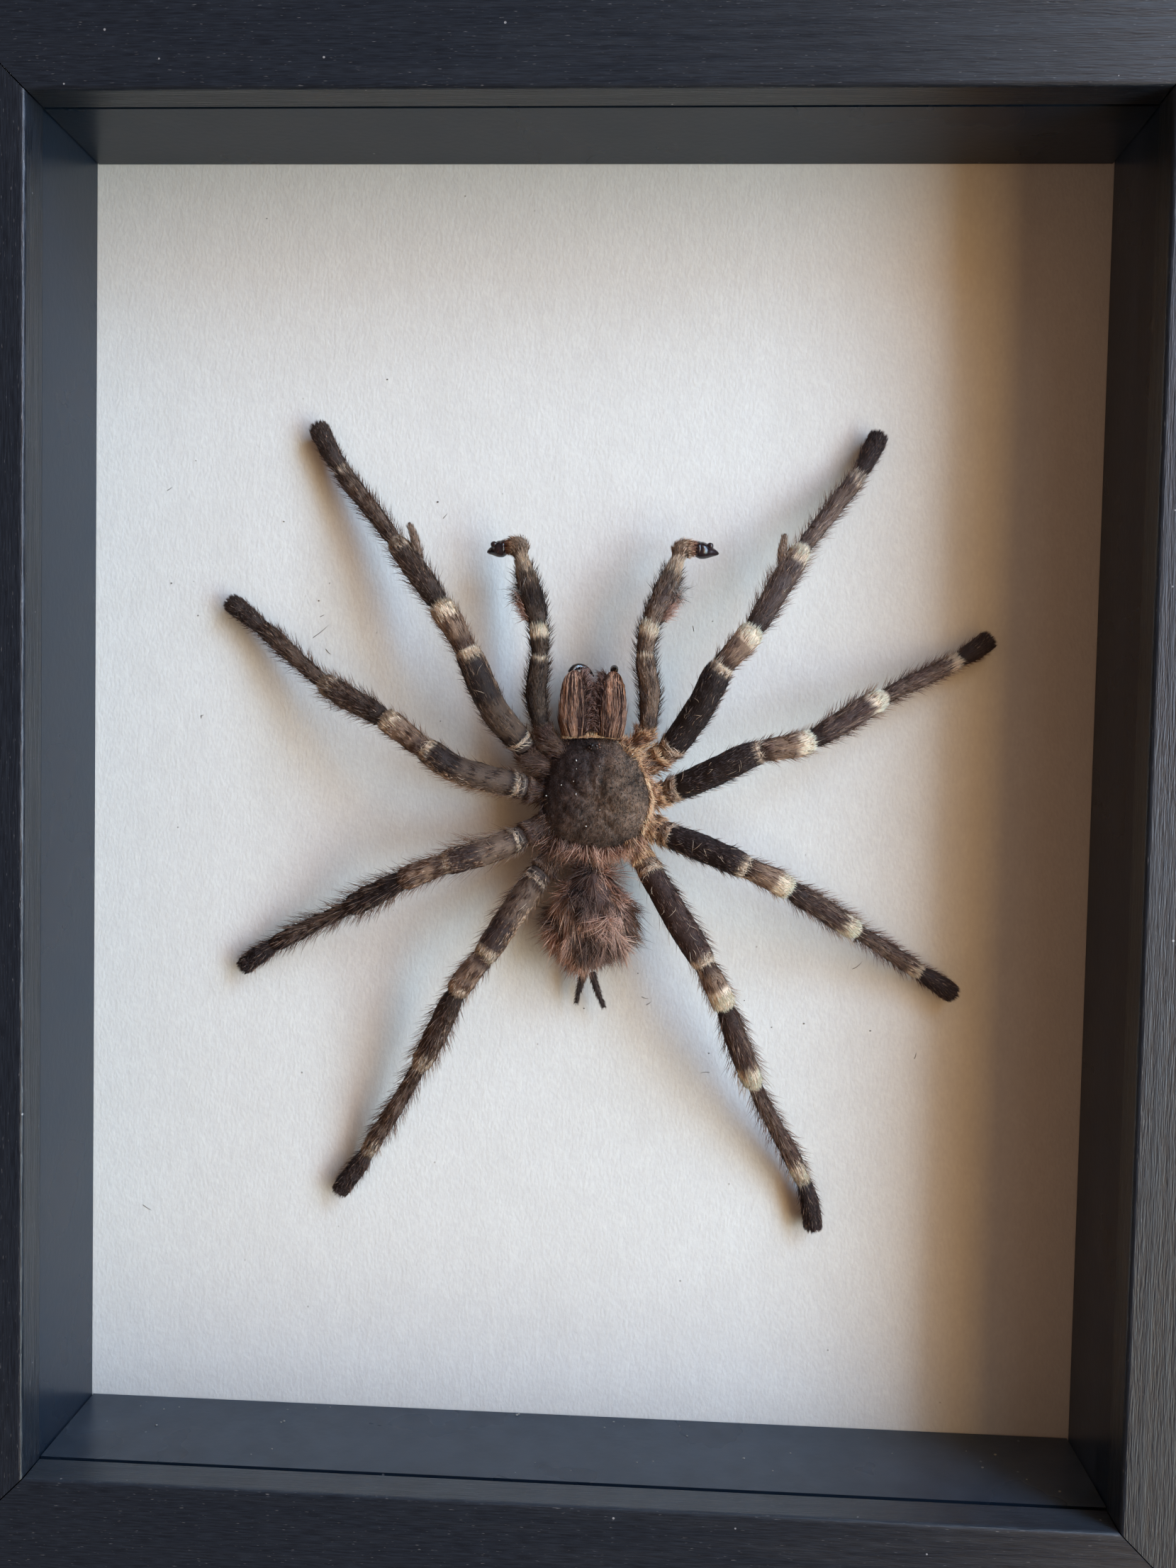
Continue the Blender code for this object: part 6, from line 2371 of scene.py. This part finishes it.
LEG_KNOTS: dict[str, Knots] = {
    "leg_1_left": [(-10.9, 10.3, 8.0), (-12.3, 12.3, 8.7), (-16.7, 17.9, 12.2), (-21.2, 27.9, 15.0),
                   (-26.7, 36.9, 14.3), (-36.1, 49.0, 8.8), (-48.1, 63.6, 3.9), (-53.4, 72.5, 2.6)],
    "leg_2_left": [(-10.8, 3.1, 8.0), (-13.0, 3.6, 8.9), (-22.3, 6.0, 13.0), (-28.8, 9.9, 15.0),
                   (-36.8, 15.5, 14.0), (-49.8, 22.3, 8.8), (-63.0, 32.6, 3.8), (-70.5, 38.1, 2.6)],
    "leg_3_left": [(-10.8, -6.0, 8.0), (-12.9, -7.2, 8.7), (-18.5, -9.4, 11.8), (-24.6, -11.2, 14.0),
                   (-33.1, -14.7, 13.0), (-44.3, -20.8, 7.9), (-60.0, -29.1, 3.6), (-67.2, -34.3, 2.6)],
    "leg_4_left": [(-7.4, -12.9, 8.0), (-8.8, -14.9, 8.7), (-12.7, -21.1, 12.0), (-17.0, -28.0, 14.5),
                   (-22.4, -35.5, 14.0), (-30.2, -51.2, 8.8), (-41.2, -69.9, 3.6), (-47.3, -78.9, 2.6)],
    "leg_1_right": [(15.5, 10.2, 8.0), (17.3, 11.6, 8.7), (21.8, 18.4, 12.2), (25.6, 26.0, 15.0),
                    (31.3, 33.2, 14.3), (40.6, 48.8, 8.8), (51.1, 63.5, 3.9), (55.4, 71.8, 2.6)],
    "leg_2_right": [(16.2, 2.9, 8.0), (18.4, 3.7, 8.9), (25.3, 7.0, 13.0), (32.6, 10.7, 15.0),
                    (42.4, 13.2, 14.0), (56.2, 21.4, 8.8), (70.9, 28.8, 3.8), (77.5, 33.2, 2.6)],
    "leg_3_right": [(15.2, -4.6, 8.0), (17.2, -5.6, 8.7), (23.7, -7.7, 12.0), (30.7, -10.4, 14.5),
                    (39.1, -14.4, 13.5), (52.5, -22.6, 8.3), (65.3, -30.8, 3.8), (72.8, -35.6, 2.6)],
    "leg_4_right": [(12.2, -10.6, 8.0), (13.5, -12.6, 8.7), (18.3, -20.2, 12.0), (23.5, -28.3, 14.5),
                    (27.9, -36.7, 14.0), (34.1, -52.7, 8.8), (44.3, -72.4, 3.8), (47.0, -82.7, 2.6)],
}
PALP_KNOTS: dict[str, Knots] = {
    "palp_left": [(-7.6, 14.9, 9.3), (-8.1, 16.0, 9.6), (-8.8, 20.7, 11.0), (-8.2, 27.4, 12.0),
                  (-8.4, 33.5, 12.3), (-10.1, 39.4, 11.0), (-12.2, 46.3, 9.0), (-13.0, 48.9, 8.5),
                  (-15.2, 48.7, 8.0), (-17.6, 48.7, 7.5), (-19.0, 48.1, 7.2)],
    "palp_right": [(12.0, 15.0, 9.3), (12.4, 16.2, 9.6), (12.6, 21.8, 11.0), (11.6, 28.3, 12.0),
                   (12.5, 34.2, 12.3), (14.9, 39.8, 11.0), (17.2, 46.4, 9.0), (18.1, 48.6, 8.5),
                   (20.4, 48.9, 8.0), (22.9, 48.4, 7.5), (25.0, 48.4, 7.2)],
}
HOOKS: dict[str, Knots] = {
    "leg_1_left": [(-31.8, 44.2, 10.4), (-32.3, 49.0, 10.2), (-33.8, 52.9, 9.2)],
    "leg_1_right": [(37.4, 43.9, 10.4), (36.8, 48.2, 10.2), (37.3, 51.7, 9.2)],
}
MOUTH_KNOTS: dict[str, Knots] = {
    "chelicera_left": [(-1.5, 13.4, 8.9), (-1.6, 15.0, 9.2), (-1.7, 18.5, 9.4), (-1.8, 22.5, 8.8),
                       (-1.8, 24.3, 7.7), (-1.8, 25.1, 7.1)],
    "chelicera_right": [(5.2, 13.4, 8.9), (5.3, 15.0, 9.2), (5.4, 18.5, 9.4), (5.5, 22.3, 8.8),
                        (5.6, 24.2, 7.7), (5.6, 25.0, 7.1)],
    "fang_left": [(-2.7, 25.1, 6.8), (-1.9, 26.1, 6.3), (-0.7, 26.4, 5.8), (0.6, 25.9, 5.2),
                  (1.7, 24.6, 4.5)],
    "fang_right": [(5.7, 25.6, 7.6), (5.7, 26.0, 6.6), (5.6, 25.8, 5.2), (5.4, 24.9, 3.6), (5.2, 23.6, 2.4)],
}
SPINNERET_KNOTS: dict[str, Knots] = {
    "spinneret_left": [(1.0, -32.9, 5.4), (0.4, -35.0, 4.6), (-0.5, -39.2, 3.4)],
    "spinneret_right": [(2.6, -32.9, 5.4), (3.5, -36.2, 4.6), (4.9, -39.9, 3.4)],
}
TAWNY_BASE = (0.50, 0.32, 0.22)
DULL_BASE = (0.17, 0.115, 0.095)
LEG_COATS: dict[str, LegCoat] = {
    "leg_1_right": LegCoat(
        [(2.93, 3.07, 0.9), (3.72, 4.03, 1.0), (4.84, 5.01, 0.95), (5.9, 6.0, 0.6)], TAWNY_BASE,
        (0.057, 0.039, 0.036), (0.22, 0.148, 0.125), (0.075, 0.050, 0.047), 0.10, 1.0, 0.85, 0.6),
    "leg_2_right": LegCoat(
        [(2.96, 3.06, 0.8), (3.74, 4.02, 1.0), (4.80, 5.01, 1.0), (5.84, 6.0, 0.8)], TAWNY_BASE,
        (0.064, 0.042, 0.037), (0.165, 0.098, 0.080), (0.075, 0.050, 0.047), 0.10, 1.0, 1.0),
    "leg_3_right": LegCoat(
        [(2.92, 3.05, 0.8), (3.71, 4.02, 1.0), (4.78, 5.01, 1.0), (5.86, 6.0, 0.8)], TAWNY_BASE,
        (0.060, 0.037, 0.034), (0.145, 0.085, 0.070), (0.070, 0.046, 0.043), 0.08, 1.0, 1.0),
    "leg_4_right": LegCoat(
        [(2.92, 3.07, 0.8), (3.66, 4.01, 1.0), (4.78, 5.01, 1.0), (5.80, 6.0, 0.9)], TAWNY_BASE,
        (0.130, 0.075, 0.062), (0.175, 0.10, 0.082), (0.075, 0.048, 0.045), 0.10, -1.0, 1.45),
    "leg_1_left": LegCoat(
        [(2.92, 3.07, 0.9), (3.70, 4.03, 0.9), (4.88, 5.02, 0.6), (5.94, 6.0, 0.5)], DULL_BASE,
        (0.050, 0.031, 0.027), (0.17, 0.108, 0.082), (0.115, 0.077, 0.063), 0.04, -1.0, 0.9, 0.2, 0.34, 0.42),
    "leg_2_left": LegCoat(
        [(2.92, 3.05, 0.9), (3.80, 4.02, 0.8), (4.84, 5.01, 0.6)], DULL_BASE,
        (0.058, 0.033, 0.027), (0.15, 0.092, 0.068), (0.100, 0.065, 0.053), 0.03, -1.0, 1.0, 0.15,
        0.35, -1.0),
    "leg_3_left": LegCoat(
        [(2.95, 3.06, 0.7)], DULL_BASE,
        (0.105, 0.060, 0.048), (0.070, 0.043, 0.037), (0.055, 0.036, 0.034), 0.05, 1.0, 1.95, 0.0,
        0.65, 0.45),
    "leg_4_left": LegCoat(
        [(2.90, 3.05, 0.9), (3.84, 4.02, 0.6), (4.84, 5.01, 0.7), (5.84, 6.0, 0.7)], DULL_BASE,
        (0.090, 0.048, 0.036), (0.16, 0.096, 0.072), (0.078, 0.050, 0.043), 0.03, 1.0, 1.4, 0.0, 0.5, -1.0),
}
GIRTHS = {"1": 1.0, "2": 0.96, "3": 0.94, "4": 0.96}


@dataclass
class Specimen:
    """The whole tarantula."""

    def build(self, effects: Effects) -> None:
        """Build every part of the animal."""
        finishes = SpecimenFinishes(*(finish.build(effects) for finish in (
            CoatFinish("leathery_skin", 0.62, 1600.0, 0.00006),
            CoatFinish("hair", 0.62, 2600.0, 0.0),
            GlossChitin("black_fang", (0.006, 0.005, 0.005), (0.030, 0.014, 0.010)),
            GlossChitin("palpal_bulb", (0.010, 0.006, 0.008), (0.040, 0.017, 0.016), 0.16),
            GlossChitin("eye", (0.012, 0.008, 0.008), (0.16, 0.06, 0.03), 0.06))))
        Cephalothorax({**LEG_KNOTS, **PALP_KNOTS}).build(finishes)
        Abdomen().build(finishes)
        for number, (name, knots) in enumerate(LEG_KNOTS.items()):
            girth = GIRTHS[name.split("_")[1]]
            Leg(name, knots, LEG_COATS[name], girth, 101 + number, HOOKS.get(name)).build(finishes)
        # The left palp's shade of 0.46 is painted shade, and the right one's 1.3 painted light.
        Palp("palp_left", PALP_KNOTS["palp_left"], 201, -1.0, 0.46).build(finishes)
        Palp("palp_right", PALP_KNOTS["palp_right"], 202, 1.0, 1.3).build(finishes)
        for name, seed, inner in (("chelicera_left", 301, 1.0), ("chelicera_right", 302, -1.0)):
            Chelicera(name, MOUTH_KNOTS[name], seed, inner).build(finishes)
        HardTube("fang_left", MOUTH_KNOTS["fang_left"], (0.60, 0.68, 0.58, 0.40, 0.10)).build(finishes.fang)
        HardTube("fang_right", MOUTH_KNOTS["fang_right"], (0.72, 0.80, 0.68, 0.44, 0.12),
                 reference=(1.0, 0.0, 0.0)).build(finishes.fang)
        for name, seed in (("spinneret_left", 601), ("spinneret_right", 602)):
            Spinneret(name, SPINNERET_KNOTS[name], seed).build(finishes)


# ---- Studio ----------------------------------------------------------------------------------


@dataclass
class Lamp:
    """One soft rectangular lamp, aimed at the card's centre."""

    name: str
    place: Triple
    size: Pair
    power: float
    colour: Colour
    glossy: bool = True
    aim: Triple = (0.0, CARD_Y, CENTRE_Z)

    def build(self) -> None:
        """Add the lamp."""
        data = bpy.data.lights.new(self.name, "AREA")
        data.shape = "RECTANGLE"
        data.size, data.size_y = self.size
        data.energy = self.power
        data.color = self.colour
        lamp = bpy.data.objects.new(self.name, data)
        back = unit(np.array(self.place) - np.array(self.aim))
        right = unit(np.cross((0.0, 0.0, 1.0), back))
        set_pose(lamp, right, np.cross(back, right), back, np.array(self.place))
        lamp.visible_camera = False
        lamp.visible_glossy = self.glossy
        lamp.visible_transmission = False
        bpy.context.scene.collection.objects.link(lamp)


def set_pose(obj: bpy.types.Object, right: Array, up: Array, back: Array, place: Array) -> None:
    """Stand an object so that its X, Y and Z axes point right, up and back."""
    matrix = np.eye(4)
    matrix[:3, 0], matrix[:3, 1], matrix[:3, 2], matrix[:3, 3] = right, up, back, place
    obj.matrix_world = Matrix(matrix.tolist())


@dataclass
class Studio:
    """Pale floor, soft lamps and the camera at the photograph's angle."""

    image: tuple[int, int] = (1659, 2212)
    focal_pixels: float = 1911.0
    turn_degrees: Triple = (2.44, 2.93, 1.22)
    camera_place: Triple = (14.3 * MM, CARD_Y - 267.2 * MM, CENTRE_Z + 15.1 * MM)
    air_colour: Colour = (0.229, 0.121, 0.072)
    mirrored_air: Colour = (0.165, 0.152, 0.162)
    backdrop: Colour = (0.58, 0.58, 0.58)
    lamps: tuple[Lamp, ...] = (
        Lamp("window", (1.126, -0.860, 0.562), (0.57, 1.65), 31.3, (0.515, 0.69, 1.00)),
        Lamp("window_low", (1.126, -0.860, -0.331), (0.57, 1.13), 11.8, (0.72, 0.96, 1.00)),
        Lamp("sky", (0.930, -1.061, 1.298), (0.29, 0.75), 7.4, (0.06, 0.54, 1.00)),
        Lamp("warm_room", (0.853, -1.121, 0.277), (0.49, 2.97), 15.0, (1.00, 0.605, 0.27)),
        Lamp("ceiling", (0.520, -1.300, 1.556), (0.27, 0.92), 1.44, (0.95, 0.96, 0.93)),
        Lamp("left_wall", (-0.449, -1.304, 0.143), (1.96, 0.28), 0.75, (1.00, 0.80, 0.62), False),
        Lamp("rear_left", (-1.1, 1.5, 1.1), (1.2, 1.2), 20.0, (1.0, 0.98, 0.95)),
        Lamp("rear_right", (1.4, 1.3, 0.9), (0.9, 0.9), 9.0, (0.92, 0.96, 1.0)),
    )

    def rotation(self) -> Array:
        """Return the camera's small turn from square-on: I + sin a K + (1 - cos a) K^2 for its axis."""
        vector = np.radians(self.turn_degrees)
        angle = np.linalg.norm(vector)
        x, y, z = vector / angle
        cross = np.array(((0.0, -z, y), (z, 0.0, -x), (-y, x, 0.0)))
        return np.eye(3) + np.sin(angle) * cross + (1.0 - np.cos(angle)) * cross @ cross

    def add_camera(self) -> None:
        """Add the camera."""
        axes = self.rotation() @ np.array(((1.0, 0.0, 0.0), (0.0, 0.0, -1.0), (0.0, 1.0, 0.0)))
        data = bpy.data.cameras.new("camera")
        data.sensor_fit = "VERTICAL"
        data.sensor_height = 36.0
        data.lens = self.focal_pixels * data.sensor_height / self.image[1]
        data.clip_start = 0.01
        camera = bpy.data.objects.new("camera", data)
        bpy.context.scene.collection.objects.link(camera)
        set_pose(camera, axes[0], -axes[1], -axes[2], np.array(self.camera_place))
        bpy.context.scene.camera = camera

    def add_floor(self, effects: Effects) -> None:
        """Add a wide floor that the frame stands on."""
        half = 4.0
        mesh = bpy.data.meshes.new("floor")
        corners = [(-half, -half, 0.0), (half, -half, 0.0), (half, half, 0.0), (-half, half, 0.0)]
        mesh.from_pydata(corners, [], [(0, 1, 2, 3)])
        mesh.materials.append(PaleFloor().build(effects))
        floor = bpy.data.objects.new("floor", mesh)
        bpy.context.scene.collection.objects.link(floor)
        floor.visible_diffuse = False
        floor.visible_glossy = False
        floor.visible_shadow = False
        floor.visible_transmission = False

    def build(self, effects: Effects) -> None:
        """Build the studio."""
        self.add_camera()
        self.add_floor(effects)
        for lamp in self.lamps:
            lamp.build()
        world = bpy.data.worlds.new("studio_air")
        world.use_nodes = True
        sky = world.node_tree.nodes["Background"]
        nodes = Nodes(world.node_tree)
        rays = nodes.put("LightPath")
        air = nodes.blend(rays.outputs["Is Glossy Ray"], self.air_colour, self.mirrored_air)
        seen = nodes.blend(rays.outputs["Is Camera Ray"], air, self.backdrop)
        world.node_tree.links.new(seen, sky.inputs["Color"])
        bpy.context.scene.world = world
        bpy.context.scene.view_settings.view_transform = "Standard"


def main() -> None:
    """Build the studio, the shadow box and the specimen."""
    logging.basicConfig(level=logging.INFO, format="%(name)s: %(message)s")
    effects = Effects()
    Studio().build(effects)
    ShadowBox().build(effects)
    Specimen().build(effects)
    CardDebris().build(effects)


if __name__ == "__main__":
    main()
